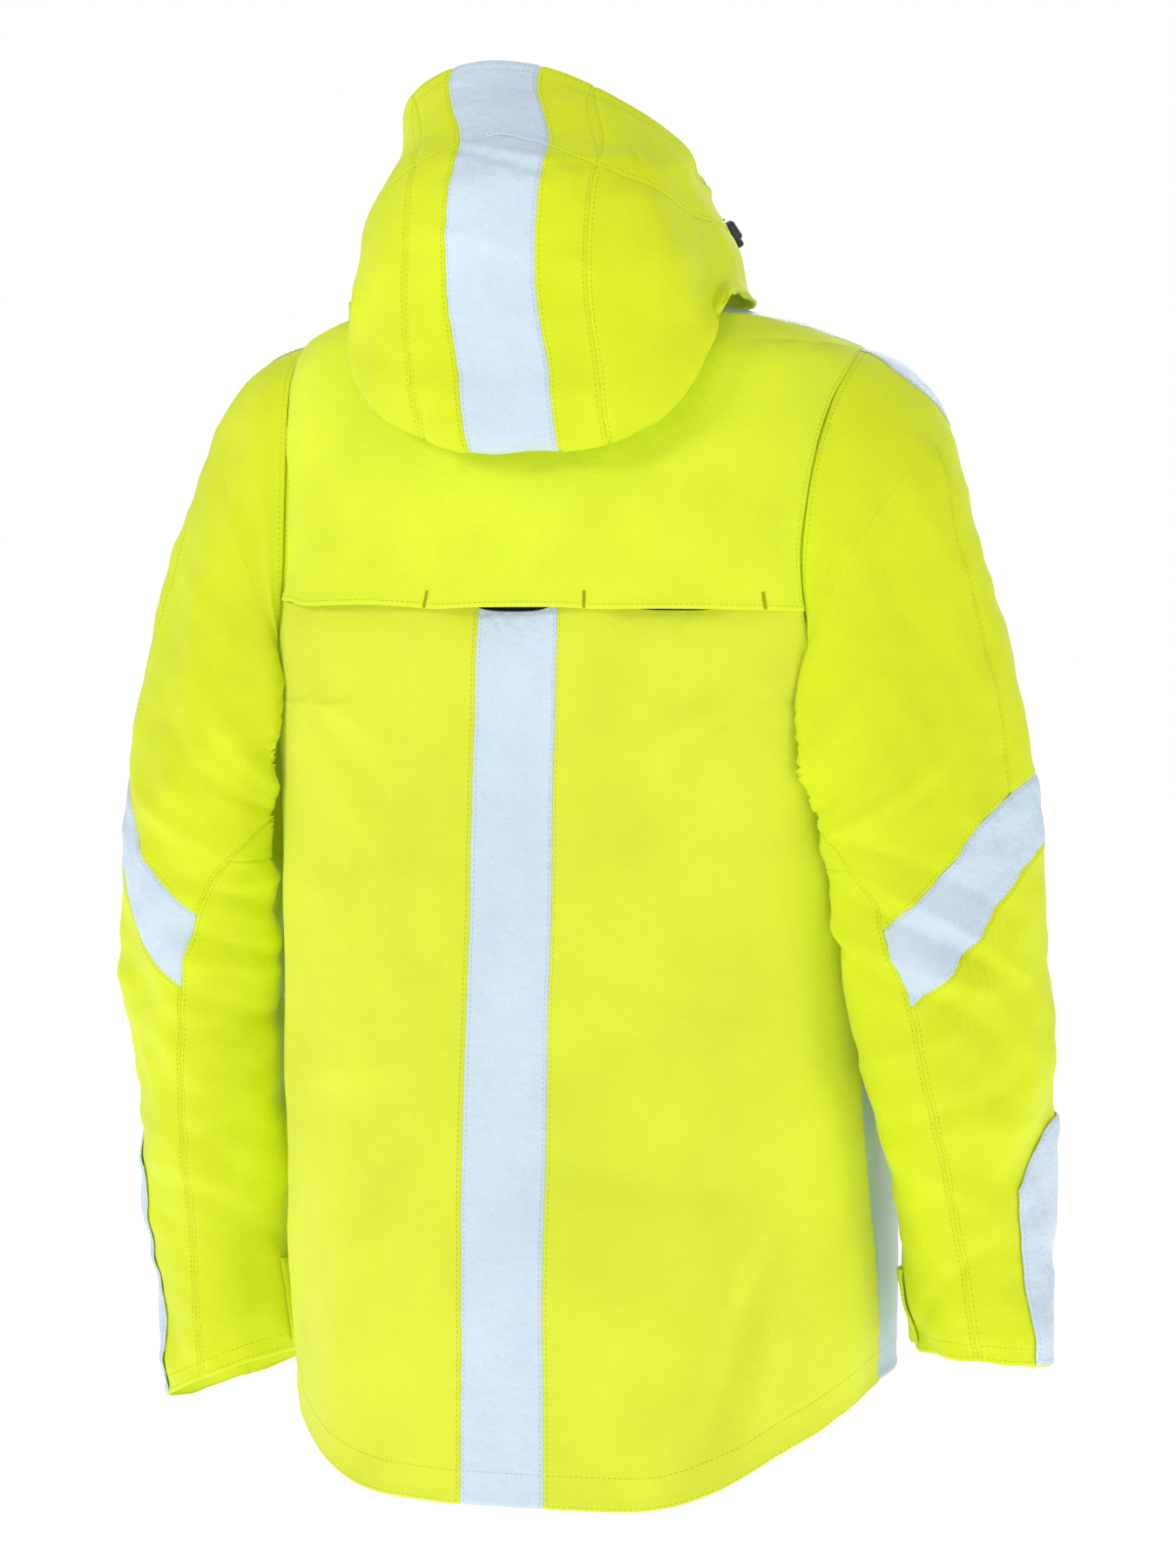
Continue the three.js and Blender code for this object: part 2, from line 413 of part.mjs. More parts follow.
for (const [name, s] of SIDES) {
  mesh(`hood_centre_${name}`, shell(hoodPanel((k) => s * strip(k, SEAM), (k) => s * seam(k, -SEAM), false), 2, 20, { out: -s }), M.yellow);
  mesh(`hood_side_${name}`, shell(hoodPanel((k) => s * seam(k, SEAM), () => s, false), 7, 18, { out: -s }), M.yellow);
  mesh(`hood_brim_${name}`, shell((u, w) => {
    let q = 0, k = 0;
    for (let i = 0; i < 8; i++) {
      k = lerp(brimW(q) + wGap, 1, w);
      q = u < 2 / 9 ? lerp(strip(k, SEAM), seam(k), u * 4.5) : lerp(seam(k), 1, (u - 2 / 9) * 9 / 7);
    }
    return hoodAt(s * q, k);
  }, 9, 6, { out: -s }), M.yellow);
}
// drawcord in the tunnel round the face opening, out through an eyelet to a lock on each side
const EYELET_W = 0.66;
{
  const inside = (u, w, depth) => {
    const e = 1e-3, ww = Math.min(w, 1 - e), uu = clamp(u, -1 + e, 1 - e), p = hoodAt(u, w);
    const du = hoodAt(uu + e, ww).sub(hoodAt(uu - e, ww)), dw = hoodAt(uu, ww + e).sub(hoodAt(uu, ww - e));
    return p.addScaledVector(new THREE.Vector3().crossVectors(du, dw).normalize(), depth);
  };
  const half = [];
  for (const w of [0.70, 0.76, 0.82, 0.88]) half.push([0.955, w]);
  for (const [u, w] of [[0.94, 0.93], [0.90, 0.962], [0.80, 0.972], [0.65, 0.972], [0.5, 0.972], [0.35, 0.972], [0.2, 0.972], [0.08, 0.972]]) half.push([u, w]);
  const route = [...half.map(([u, w]) => inside(u, w, 6.5)), ...half.slice().reverse().map(([u, w]) => inside(-u, w, 6.5))];
  const tips = {};
  for (const [name, sd] of SIDES) {
    const eye = hoodAt(sd, EYELET_W), tip = new THREE.Vector3(eye.x + sd * 6, eye.y - 14, eye.z - 2);
    tips[name] = [tip, new THREE.Vector3(sd * 0.42, -0.42, -0.80).normalize()];
    const mid = inside(sd * 0.97, EYELET_W + 0.012, 6.5);
    const round = new THREE.Vector3(eye.x - sd * 3, eye.y - 10, eye.z - 0.5); // round the edge of the face opening
    if (sd > 0) route.unshift(tip, round, mid); else route.push(mid, round, tip);
  }
  const s = new THREE.Shape();
  s.absarc(0, 0, 1.5, 0, 2 * Math.PI, false);
  mesh('hood_drawcord', new THREE.ExtrudeGeometry(s, { steps: 60, curveSegments: 8, extrudePath: new THREE.CatmullRomCurve3(route, false, 'centripetal'), bevelEnabled: false }), M.dark);
  for (const [name, sd] of SIDES) {
    const [tip, d] = tips[name];
    const q = new THREE.Quaternion().setFromUnitVectors(new THREE.Vector3(0, 1, 0), d);
    const put = (g, along) => g.applyQuaternion(q).translate(tip.x + d.x * along, tip.y + d.y * along, tip.z + d.z * along);
    const lock = new THREE.LatheGeometry([[0, 0], [4.2, 0], [5.4, 1.5], [5.4, 13], [4.6, 14], [3.5, 14], [3.5, 10], [0, 10]].map((p) => new THREE.Vector2(...p)), 14);
    mesh(`hood_lock_${name}`, put(lock, 2.6), M.dark);
    const button = new THREE.LatheGeometry([[0, 0], [3.1, 0], [3.1, 5.6], [2.4, 6.4], [0, 6.4]].map((p) => new THREE.Vector2(...p)), 14);
    mesh(`hood_lock_button_${name}`, put(button, 2.6 + 10 + 3.0), M.tape);
  }
}

// ---------------------------------------------------------------- sleeve panels
const BACK_SEAM = [[0, 178], [0.20, 166], [0.38, 148], [0.50, 120], [0.56, 109], [0.64, 99], [0.74, 95], [0.88, 88], [1.00, 81]];
const backSeam = (t) => table(BACK_SEAM, t)[0];
const OUTER_SEAM = 12, FRONT_SEAM = -72;  // degrees round the sleeve
const BAND_TOP = [[-72, 0.335], [-15, 0.365], [36, 0.42], [58, 0.468], [80, 0.510], [109, 0.560]];
const BAND_LOW = [[-72, 0.435], [-15, 0.462], [36, 0.540], [67, 0.602], [98.6, 0.650]];
const bandTop = (q) => table(BAND_TOP, q)[0], bandLow = (q) => table(BAND_LOW, q)[0];
const HEAD_T = 0.085;   // where the sleeve head, sewn into the armhole, ends
const UPPER_ROWS = [0.085, 0.164, 0.243, 0.323, 0.402, 0.481, 0.560]; // along the back seam
const LOWER_ROWS = [0.650, 0.720, 0.790, 0.860, 0.930, 1];
const UNDER_CUT = 0.481; // where the under sleeve is pieced
const PATCH_T = [[-72, 0.78], [-15, 0.785], [34, 0.845]];
const qg = 0.32, tg = 0.0009; // seam gaps in degrees and in t
const FRONT_COLS = 4, BACK_COLS = 7, UNDER_COLS = 8;
// columns of the outer pieces: front seam to outer seam, then outer seam to back seam
const column = (u, end) => { const k = u * (FRONT_COLS + BACK_COLS); return k < FRONT_COLS ? lerp(FRONT_SEAM, OUTER_SEAM, k / FRONT_COLS) : lerp(OUTER_SEAM, end, (k - FRONT_COLS) / BACK_COLS); };
for (const [name, s] of SIDES) {
  const S = (q, t) => sleeveAt(s, q, t);
  mesh(`sleeve_head_${name}`, shell((u, w) => {
    const t = lerp(0.004, HEAD_T - tg, w);
    return S(lerp(FRONT_SEAM + qg, backSeam(t) - qg, (column(u, backSeam(t)) - FRONT_SEAM) / (backSeam(t) - FRONT_SEAM)), t);
  }, FRONT_COLS + BACK_COLS, 2, { out: -s }), M.yellow);
  const upper = (q0, q1, n, nm) => mesh(nm, shell((u, w) => {
    let q = lerp(q0, 100, u), t;
    for (let i = 0; i < 6; i++) { t = lerp(HEAD_T + tg, bandTop(q) - tg, w); q = lerp(q0 + qg, q1(t) - qg, u); }
    return S(q, t);
  }, n, 6, { out: -s }), M.yellow);
  upper(OUTER_SEAM, backSeam, BACK_COLS, `upper_sleeve_${name}`);
  upper(FRONT_SEAM, () => OUTER_SEAM, FRONT_COLS, `front_sleeve_${name}`);
  const under = (rows, nm) => mesh(nm, shell((u, w) => {
    const t = pick(rows, w);
    return S(lerp(backSeam(t) + qg, 360 + FRONT_SEAM - qg, u), t);
  }, UNDER_COLS, rows.length - 1, { thick: 1.2, out: -s }), M.yellow);
  under([0.004, 0.043, ...UPPER_ROWS.slice(0, 5), UNDER_CUT - tg], `under_sleeve_upper_${name}`);
  under([UNDER_CUT + tg, 0.560, 0.605, ...LOWER_ROWS], `under_sleeve_lower_${name}`);
  const outer = (rows, nm, mat) => mesh(nm, shell((u, w) => {
    let q = column(u, 100), t;
    for (let i = 0; i < 6; i++) { t = rows(q, w); q = lerp(FRONT_SEAM + qg, backSeam(t) - qg, (column(u, backSeam(t)) - FRONT_SEAM) / (backSeam(t) - FRONT_SEAM)); }
    return S(q, t);
  }, FRONT_COLS + BACK_COLS, nm.startsWith('elbow') ? 2 : LOWER_ROWS.length - 1, { out: -s }), mat);
  outer((q, w) => lerp(bandTop(q) + tg, bandLow(q) - tg, w), `elbow_band_${name}`, M.light);
  outer((q, w) => lerp(bandLow(q) + tg, 1, w), `lower_sleeve_${name}`, M.yellow);
  mesh(`forearm_patch_${name}`, shell((u, w) => {
    const q = lerp(FRONT_SEAM + 2, 34, u);
    return S(q, lerp(table(PATCH_T, q)[0], 0.998, w));
  }, 6, 5, { lift: 2.6, thick: 1.2, out: -s }), M.light);
  mesh(`cuff_tab_${name}`, shell((u, w) => S(lerp(158, 228, u), lerp(0.925, 0.992, w)), 6, 2, { lift: 3.6, thick: 1.8, out: -s }), M.yellow);
}
export default jacket;
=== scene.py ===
import math

import bpy
import numpy as np
from mathutils import Matrix, Vector

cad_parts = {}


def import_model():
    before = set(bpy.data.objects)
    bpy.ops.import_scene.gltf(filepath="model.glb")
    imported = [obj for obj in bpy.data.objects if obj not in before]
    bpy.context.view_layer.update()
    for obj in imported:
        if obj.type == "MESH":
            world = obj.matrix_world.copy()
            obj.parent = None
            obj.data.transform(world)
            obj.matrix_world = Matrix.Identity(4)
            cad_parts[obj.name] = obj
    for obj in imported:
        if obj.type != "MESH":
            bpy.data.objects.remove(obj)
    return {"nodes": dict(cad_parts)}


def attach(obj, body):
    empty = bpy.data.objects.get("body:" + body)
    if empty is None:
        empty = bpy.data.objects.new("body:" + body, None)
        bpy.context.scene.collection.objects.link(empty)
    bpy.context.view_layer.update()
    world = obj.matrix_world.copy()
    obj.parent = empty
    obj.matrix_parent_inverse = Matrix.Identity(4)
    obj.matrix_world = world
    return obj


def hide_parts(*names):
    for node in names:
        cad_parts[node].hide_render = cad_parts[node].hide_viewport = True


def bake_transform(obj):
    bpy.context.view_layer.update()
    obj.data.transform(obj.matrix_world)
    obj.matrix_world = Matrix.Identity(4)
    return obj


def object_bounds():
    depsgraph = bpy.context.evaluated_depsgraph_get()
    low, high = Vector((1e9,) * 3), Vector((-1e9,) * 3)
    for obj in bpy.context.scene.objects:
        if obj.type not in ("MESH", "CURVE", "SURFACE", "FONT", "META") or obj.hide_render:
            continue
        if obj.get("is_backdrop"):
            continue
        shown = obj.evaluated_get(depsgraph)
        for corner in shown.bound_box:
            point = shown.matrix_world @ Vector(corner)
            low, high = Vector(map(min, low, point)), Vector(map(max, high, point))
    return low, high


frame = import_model()
SIZE_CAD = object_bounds()

# ------------------------------------------------------------------ camera
LOOP = np.array([0.0, 72.0, 838.0])  # hang loop, the row's origin, in the body frame (mm)


def world(p):
    return (np.asarray(p, float) - LOOP) / 1000.0


az, el, dist = math.radians(200), math.radians(4), 3.6
back = Vector((math.sin(az) * math.cos(el), -math.cos(az) * math.cos(el), math.sin(el)))
right = (-back).cross(Vector((0, 0, 1))).normalized()
up = right.cross(-back)
cam_data = bpy.data.cameras.new("camera")
cam = bpy.data.objects.new("camera", cam_data)
bpy.context.scene.collection.objects.link(cam)
cam.matrix_world = Matrix.Translation(Vector((0, -0.072, -0.338)) + back * dist) @ Matrix((right, up, back)).transposed().to_4x4()
cam_data.lens, cam_data.sensor_width, cam_data.sensor_fit = 114.76, 36, "AUTO"
cam_data.shift_x, cam_data.shift_y = -7 / 1800, 2 / 1800
cam_data.clip_start, cam_data.clip_end = 0.1, 60
bpy.context.scene.camera = cam

# ------------------------------------------------------------------ numbers shared with the CAD
SEAM, STRIP_HALF, HEM_RISE, FLAP_V = -0.12, 30, 70, 0.690
ARM_V0, ARM_V1, NECK_DROP, ARM_FRONT, ARM_HALF = 0.615, 0.905, 50, 17, 26
FRONT_Y0, FRONT_Y1 = -155, -92
RAD = math.pi / 180


def step(x, a, b):
    t = np.clip((np.asarray(x, float) - a) / (b - a), 0, 1)
    return t * t * (3 - 2 * t)


def lerp(a, b, t):
    return a + (b - a) * t


def pick(lst, f):
    lst = np.asarray(lst, float)
    return np.interp(np.clip(f, 0, 1) * (len(lst) - 1), np.arange(len(lst)), lst)


def table(T, t):
    T = np.asarray(T, float)
    k, n = T[:, 0], len(T)
    t = np.clip(np.asarray(t, float), k[0], k[-1])
    s = np.empty_like(T)
    s[1:-1] = (T[2:] - T[:-2]) / (k[2:] - k[:-2])[:, None]
    s[0] = (T[1] - T[0]) / (k[1] - k[0])
    s[-1] = (T[-1] - T[-2]) / (k[-1] - k[-2])
    i = np.clip(np.searchsorted(k, t, side="right") - 1, 0, n - 2)
    h = k[i + 1] - k[i]
    u = ((t - k[i]) / h)[..., None]
    h = h[..., None]
    a, b, m, q = T[i, 1:], T[i + 1, 1:], s[i, 1:] * h, s[i + 1, 1:] * h
    return (2 * u**3 - 3 * u**2 + 1) * a + (u**3 - 2 * u**2 + u) * m + (3 * u**2 - 2 * u**3) * b + (u**3 - u**2) * q


TORSO = [
    [0.00, 12, 217, 188, 2.2, 2.9], [0.12, 108, 219, 187, 2.3, 2.9], [0.30, 272, 220, 182, 2.5, 2.7],
    [0.48, 440, 218, 172, 2.9, 2.6], [0.62, 570, 217, 163, 3.4, 2.7], [0.70, 640, 217, 154, 3.8, 2.9],
    [0.78, 712, 217, 143, 3.9, 2.9], [0.85, 773, 216, 128, 3.6, 2.8], [0.90, 811, 206, 114, 3.1, 2.6],
    [0.94, 831, 165, 101, 2.7, 2.4], [0.97, 842, 122, 92, 2.3, 2.2], [1.00, 853, 88, 84, 2.1, 2.1]]


def front_depth(v):
    z = table(TORSO, v)[..., 0]
    fz = z + HEM_RISE * (1 - step(z, 0, 340)) - NECK_DROP * step(v, 0.80, 1)
    return -lerp(FRONT_Y0, FRONT_Y1, fz / 800)


def torso_both(deg, v):
    deg, v = np.broadcast_arrays(np.asarray(deg, float), np.asarray(v, float))
    R = table(TORSO, v)
    z, Wd, Db, nb, nf = (R[..., i] for i in range(5))
    c, s = np.cos(deg * RAD), np.sin(deg * RAD)
    Df = front_depth(v)
    D, n = np.where(c >= 0, Db, Df), np.where(c >= 0, nb, nf)
    r = (np.abs(c / D) ** n + np.abs(s / Wd) ** n) ** (-1 / n)
    z = z + HEM_RISE * step(np.abs(deg), 26, 92) * (1 - step(z, 0, 340))
    z = z - NECK_DROP * step(v, 0.80, 1) * (0.5 - 0.5 * c) ** 3.5
    return np.stack([r * s, r * c, z], -1)


def settle(p):  # the left shoulder stands higher
    p = np.array(p, float)
    p[..., 2] += np.where(p[..., 0] > 0, 6 * step(p[..., 0], 50, 170) * step(p[..., 2], 560, 760), 0)
    return p


def torso(deg, v):
    return settle(torso_both(deg, v))


_VS = np.linspace(0, 1, 4001)
_ZS = table(TORSO, _VS)[:, 0]
SIDE = [[0, 88], [0.16, 84], [0.32, 78], [0.50, 76], [ARM_V0, 80]]


def side_seam(v):
    return table(SIDE, v)[..., 0]


def arm_mid(v):
    return lerp(80, 92, (v - ARM_V0) / (ARM_V1 - ARM_V0))


def arm_shape(v):
    return np.maximum(0, 1 - np.abs((2 * v - ARM_V0 - ARM_V1) / (ARM_V1 - ARM_V0)) ** 2.3) ** (1 / 2.3)


def shoulder_seam(v):  # it runs back from the armhole onto the crest
    return lerp(92, 56, np.clip((v - ARM_V1 - 0.01) / 0.035, 0, 1))


def edge_of(v, mm):
    v = np.asarray(v, float)
    return np.where(v <= ARM_V0, side_seam(v), np.where(v >= ARM_V1, shoulder_seam(v), arm_mid(v) + mm * arm_shape(v)))


def back_edge(v):
    return edge_of(v, -ARM_HALF)


def front_edge(v):
    return edge_of(v, ARM_FRONT)


ARM = {
    1: [[0.00, 0, 0, 0, 0, 0, 0, 0], [0.14, 221, 52, 603, 80, 66, 1.12, 0.0], [0.28, 254, 61, 530, 80, 64, 0.48, 0.0],
        [0.45, 271, 68, 468, 77, 61, 0.10, 0.0], [0.60, 280, 60, 385, 74, 59, 0.0, 0.0], [0.75, 285, 40, 290, 68, 54, 0.0, 0.0],
        [0.90, 287, 12, 165, 57, 51, -0.08, 0.05], [1.00, 284, -10, 54, 50, 52, -0.42, 0.12]],
    -1: [[0.00, 0, 0, 0, 0, 0, 0, 0], [0.14, 219, 52, 603, 80, 66, 1.12, 0.0], [0.28, 253, 60, 532, 80, 64, 0.48, 0.0],
         [0.45, 271, 68, 472, 77, 61, 0.10, 0.0], [0.60, 281, 60, 392, 74, 59, 0.0, 0.0], [0.75, 287, 40, 300, 68, 54, 0.0, 0.0],
         [0.90, 290, 12, 186, 53, 49, 0.0, 0.05], [1.00, 293, -6, 102, 46, 49, -0.05, 0.10]]}


def armhole(q):
    c, s, p = np.cos(q * RAD), np.sin(q * RAD), 2 / 2.3
    v = lerp(ARM_V0, ARM_V1, 0.5 + 0.5 * np.sign(c) * np.abs(c) ** p)
    return torso_both(arm_mid(v) - np.where(s > 0, ARM_HALF, -ARM_FRONT) * np.abs(s) ** p, v)


def ring(T, k, q):
    if k == 0:
        return armhole(q)
    _, x, y, z, A, B, to, tb = T[k]
    d = (q + 45) * RAD
    r = ((np.abs(np.cos(d)) / A) ** 2.2 + (np.abs(np.sin(d)) / B) ** 2.2) ** (-1 / 2.2)
    c, s = r * np.cos(q * RAD), r * np.sin(q * RAD)
    return np.stack([x + c, y + s, z + to * c + tb * s], -1)


def clear_body(p, margin):
    z = p[..., 2]
    v = np.interp(z, _ZS, _VS)
    R = table(TORSO, v)
    Wd, Db, nb, nf = (R[..., i] for i in range(1, 5))
    y = p[..., 1]
    D, n = np.where(y >= 0, Db, front_depth(v)), np.where(y >= 0, nb, nf)
    k = np.abs(y / D)
    x = Wd * np.maximum(1e-9, 1 - np.minimum(k, 1) ** n) ** (1 / n) + margin
    act = (z <= 740) & (k < 1) & (p[..., 0] < x)
    p[..., 0] = np.where(act, lerp(p[..., 0], x, 1 - step(z, 650, 740)), p[..., 0])
    return p


def sleeve(side, q, t):
    T = ARM[side]
    n = len(T)
    q, t = np.broadcast_arrays(np.asarray(q, float), np.clip(np.asarray(t, float), 0, 1))
    K = np.array([r[0] for r in T])
    P = np.stack([ring(T, k, q) for k in range(n)], 0)
    S = np.empty_like(P)
    for k in range(1, n - 1):
        S[k] = (P[k + 1] - P[k - 1]) / (K[k + 1] - K[k - 1])
    S[-1] = (P[-1] - P[-2]) / (K[-1] - K[-2])
    c = 0.5 + 0.5 * np.cos(q * RAD)
    S[0] = np.stack([lerp(160, 820, c), 0 * c, lerp(-640, -330, c)], -1)
    i = np.clip(np.searchsorted(K, t, side="right") - 1, 0, n - 2)
    take = lambda A, i: np.take_along_axis(A, i[None, ..., None], 0)[0]
    h = (K[i + 1] - K[i])[..., None]
    u = (t - K[i])[..., None] / h
    p = (2 * u**3 - 3 * u**2 + 1) * take(P, i) + (u**3 - 2 * u**2 + u) * h * take(S, i) + (3 * u**2 - 2 * u**3) * take(P, i + 1) + (u**3 - u**2) * h * take(S, i + 1)
    p = clear_body(p, 4.5 * step(t, 0, 0.06))
    full = (17 if side > 0 else 10) * np.sin(np.pi * np.clip(t / 0.14, 0, 1)) * np.maximum(0, np.cos(q * RAD)) ** 1.5
    p[..., 0] += 0.6 * full
    p[..., 2] += 0.8 * full
    p[..., 0] *= side
    return settle(p)


HOOD = [
    [0.00, 80, 860, 84, 8, 858, 2.1, 135, -68, 824, 1.0], [0.05, 104, 866, 100, 25, 866, 2.2, 142, -67, 829, 1.0],
    [0.10, 130, 840, 118, 50, 864, 2.3, 150, -61, 832, 0.8], [0.16, 146, 786, 130, 75, 858, 2.4, 150, -60, 836, 0.62],
    [0.20, 156, 742, 138, 88, 852, 2.5, 149, -57, 838, 0.55], [0.25, 168, 749, 137, 88, 854, 2.6, 147, -53, 843, 0.60],
    [0.31, 178, 780, 134, 84, 860, 2.7, 148, -44, 850, 0.7], [0.45, 187, 842, 131, 80, 878, 2.6, 142, -24, 872, 1.0],
    [0.60, 187, 899, 120, 72, 903, 2.5, 131, -3, 897, 1.0], [0.74, 172, 940, 113, 69, 917, 2.4, 120, 18, 915, 1.0],
    [0.86, 138, 964, 110, 62, 930, 2.3, 104, 34, 924, 1.0], [1.00, 96, 1013, 106, 58, 935, 1.9, 95, 50, 931, 1.0]]


def hood(u, w):
    u, w = np.broadcast_arrays(np.asarray(u, float), np.asarray(w, float))
    R = table(HOOD, w)
    Ya, Za, Wd, Yw, Zw, n, a, Yf, Zf, e = (R[..., i] for i in range(10))
    c, s, p = np.cos(u * a * RAD), np.sin(u * a * RAD), 2 / n
    h = np.sign(s) * np.abs(s) ** p
    g = np.abs(c) ** p
    k = g / np.maximum(1e-6, np.abs(np.cos(a * RAD))) ** p
    y = np.where(c >= 0, Yw + (Ya - Yw) * g**e, Yw + (Yf - Yw) * k)
    z = np.where(c >= 0, Zw + (Za - Zw) * g, Zw + (Zf - Zw) * k)
    lean = 8 * lerp(step(z, 840, 900), step(z, 775, 862), step(w, 0.12, 0.25)) + 30 * step(z, 940, 1003)
    return np.stack([Wd * h + lean, y, z], -1)


# ------------------------------------------------------------------ smooth random folds, always the same
def waves(seed, scale, n=28):
    r = np.random.default_rng(seed)
    K = r.normal(size=(n, 3))
    K /= np.linalg.norm(K, axis=1)[:, None]
    K *= (2 * math.pi / np.asarray(scale, float)) * r.uniform(0.55, 1.35, (n, 1))
    ph = r.uniform(0, 2 * math.pi, n)
    return lambda P: np.sin(P @ K.T + ph).sum(-1) * math.sqrt(2 / n)


drape = waves(3, (95, 260, 520))
soft = waves(5, (120, 120, 150))
crumple = waves(8, (46, 46, 58))
fine = waves(13, (19, 19, 24), 40)
arm_soft = waves(21, (80, 80, 120))
arm_fine = waves(23, (34, 34, 30))
hood_soft = waves(31, (95, 95, 85))
hood_fine = waves(33, (38, 38, 34))


def ridge(x, centre, width):
    return np.exp(-(((x - centre) / width) ** 2))


def window(x, a, b, soften):
    return step(x, a - soften, a + soften) * (1 - step(x, b - soften, b + soften))


TACKS = [205.0, 66.0, -53.0, -172.0]  # bar tacks along the free edge of the yoke, x in mm


def slot_open(x):  # where the vent shows under the yoke
    return np.clip(0.905 * np.exp(-np.abs((x - 4) / 46) ** 4) + 0.845 * np.exp(-np.abs((x + 113) / 52) ** 4) + 0.86 * np.exp(-np.abs((x - 182) / 18) ** 4), 0, 1)


def flap_wave(x):  # how far the free edge bulges between its tacks
    b = lambda a, c: np.sin(np.pi * np.clip((x - a) / (c - a), 0, 1))
    return 0.95 * b(-53, 66) + 1.0 * b(-172, -53) + 0.55 * b(66, 205)


def folds_torso(P):
    x, y, z = P[..., 0], P[..., 1], P[..., 2]
    d = 1.9 * drape(P) * (1 - step(z, 640, 800)) * (0.35 + 0.65 * step(z, 20, 200))
    d = d + 0.9 * soft(P) + 0.32 * crumple(P) + 0.10 * fine(P)
    b = step(y, 20, 60)
    # broad vertical drape to the right of the strip, and its answer on the left
    cx = -96 - 0.13 * (z - 500)
    d = d + b * (3.2 * ridge(x, cx, 26) - 2.6 * ridge(x, cx - 44, 22)) * window(z, 380, 610, 60)
    d = d + b * (2.0 * ridge(x, 108 + 0.08 * (z - 400), 30) - 1.6 * ridge(x, 152, 20)) * window(z, 200, 560, 80)
    # gathers over the right hip
    for cx, s, a, w in ((-128, -0.35, 2.4, 11), (-150, -0.28, -2.6, 9), (-170, -0.20, 2.2, 9), (-104, -0.42, -1.8, 12)):
        d = d + b * a * ridge(x, cx + s * (z - 100), w) * window(z, 50, 190, 34)
    # drag lines from the armpits
    for sx in (1, -1):
        for k, a, w in ((0.55, 2.2, 9), (0.95, -2.0, 10), (1.45, 1.5, 10)):
            d = d + b * a * ridge(z, 590 - k * (188 - sx * x), w) * window(sx * x, 95, 186, 26)
    # slanting creases at the waist
    for z0, k, a, w, x0, x1 in ((395, 0.22, -1.5, 10, -170, -70), (330, -0.18, 1.3, 12, 60, 175), (255, 0.15, -1.4, 11, -160, -40), (455, -0.12, 1.2, 10, 70, 180)):
        d = d + b * a * ridge(z, z0 + k * x, w) * window(x, x0, x1, 30)
    return 1.25 * d * (0.55 + 0.45 * (1 - step(z, 690, 840)))


def folds_sleeve(side, q, t, P):
    d = 1.9 * arm_soft(P) + 0.85 * arm_fine(P) + 0.12 * fine(P)
    d = d * step(t, 0.01, 0.10)
    # creases: t at q = 90, slant per degree, width in t, height, q from and to
    if side > 0:
        L = [(0.505, 0.0007, 0.012, -3.0, 95, 200), (0.535, -0.0004, 0.012, 2.6, 100, 205), (0.575, 0.0006, 0.011, -3.2, 90, 200),
             (0.612, 0.0002, 0.012, 2.4, 95, 200), (0.655, 0.0005, 0.011, -2.4, 100, 200), (0.705, -0.0003, 0.012, -2.2, 100, 195),
             (0.44, 0.0010, 0.016, 2.0, 30, 150), (0.30, 0.0012, 0.018, -2.2, 60, 170), (0.22, 0.0012, 0.016, 2.0, 70, 180),
             (0.80, -0.0006, 0.012, 1.6, 60, 160), (0.86, 0.0007, 0.011, -1.6, 80, 190), (0.94, -0.0008, 0.010, 1.8, 90, 200)]
    else:
        L = [(0.470, -0.0011, 0.014, -2.6, 20, 130), (0.520, -0.0012, 0.013, 2.8, 10, 140), (0.560, -0.0010, 0.012, -3.0, 30, 150),
             (0.600, -0.0007, 0.013, 2.6, 40, 160), (0.640, -0.0009, 0.012, -2.6, 50, 165), (0.690, 0.0006, 0.013, 2.0, 70, 180),
             (0.36, 0.0013, 0.020, 2.2, 40, 160), (0.27, 0.0014, 0.018, -2.4, 60, 175), (0.19, 0.0012, 0.014, 2.2, 80, 180),
             (0.77, 0.0005, 0.013, -1.8, 30, 150), (0.84, -0.0007, 0.012, 1.6, 40, 160), (0.925, 0.0009, 0.011, -2.0, 60, 180)]
    qq = np.where(q > 300, q - 360, q)
    for t0, k, w, a, q0, q1 in L:
        d = d + 1.6 * a * (1 - 0.45 * step(qq, 140, 180)) * ridge(t, t0 + k * (qq - 90), w) * window(qq, q0, q1, 22)
    d = d + 2.2 * np.sin(qq * RAD * 5 + 0.6 * side) * step(t, 0.93, 1.0) * 0.6
    d = d + 2.8 * ridge(t, 0.032, 0.017) * window(qq, 40, 165, 16)  # the sleeve head rolls over the armhole seam
    return d


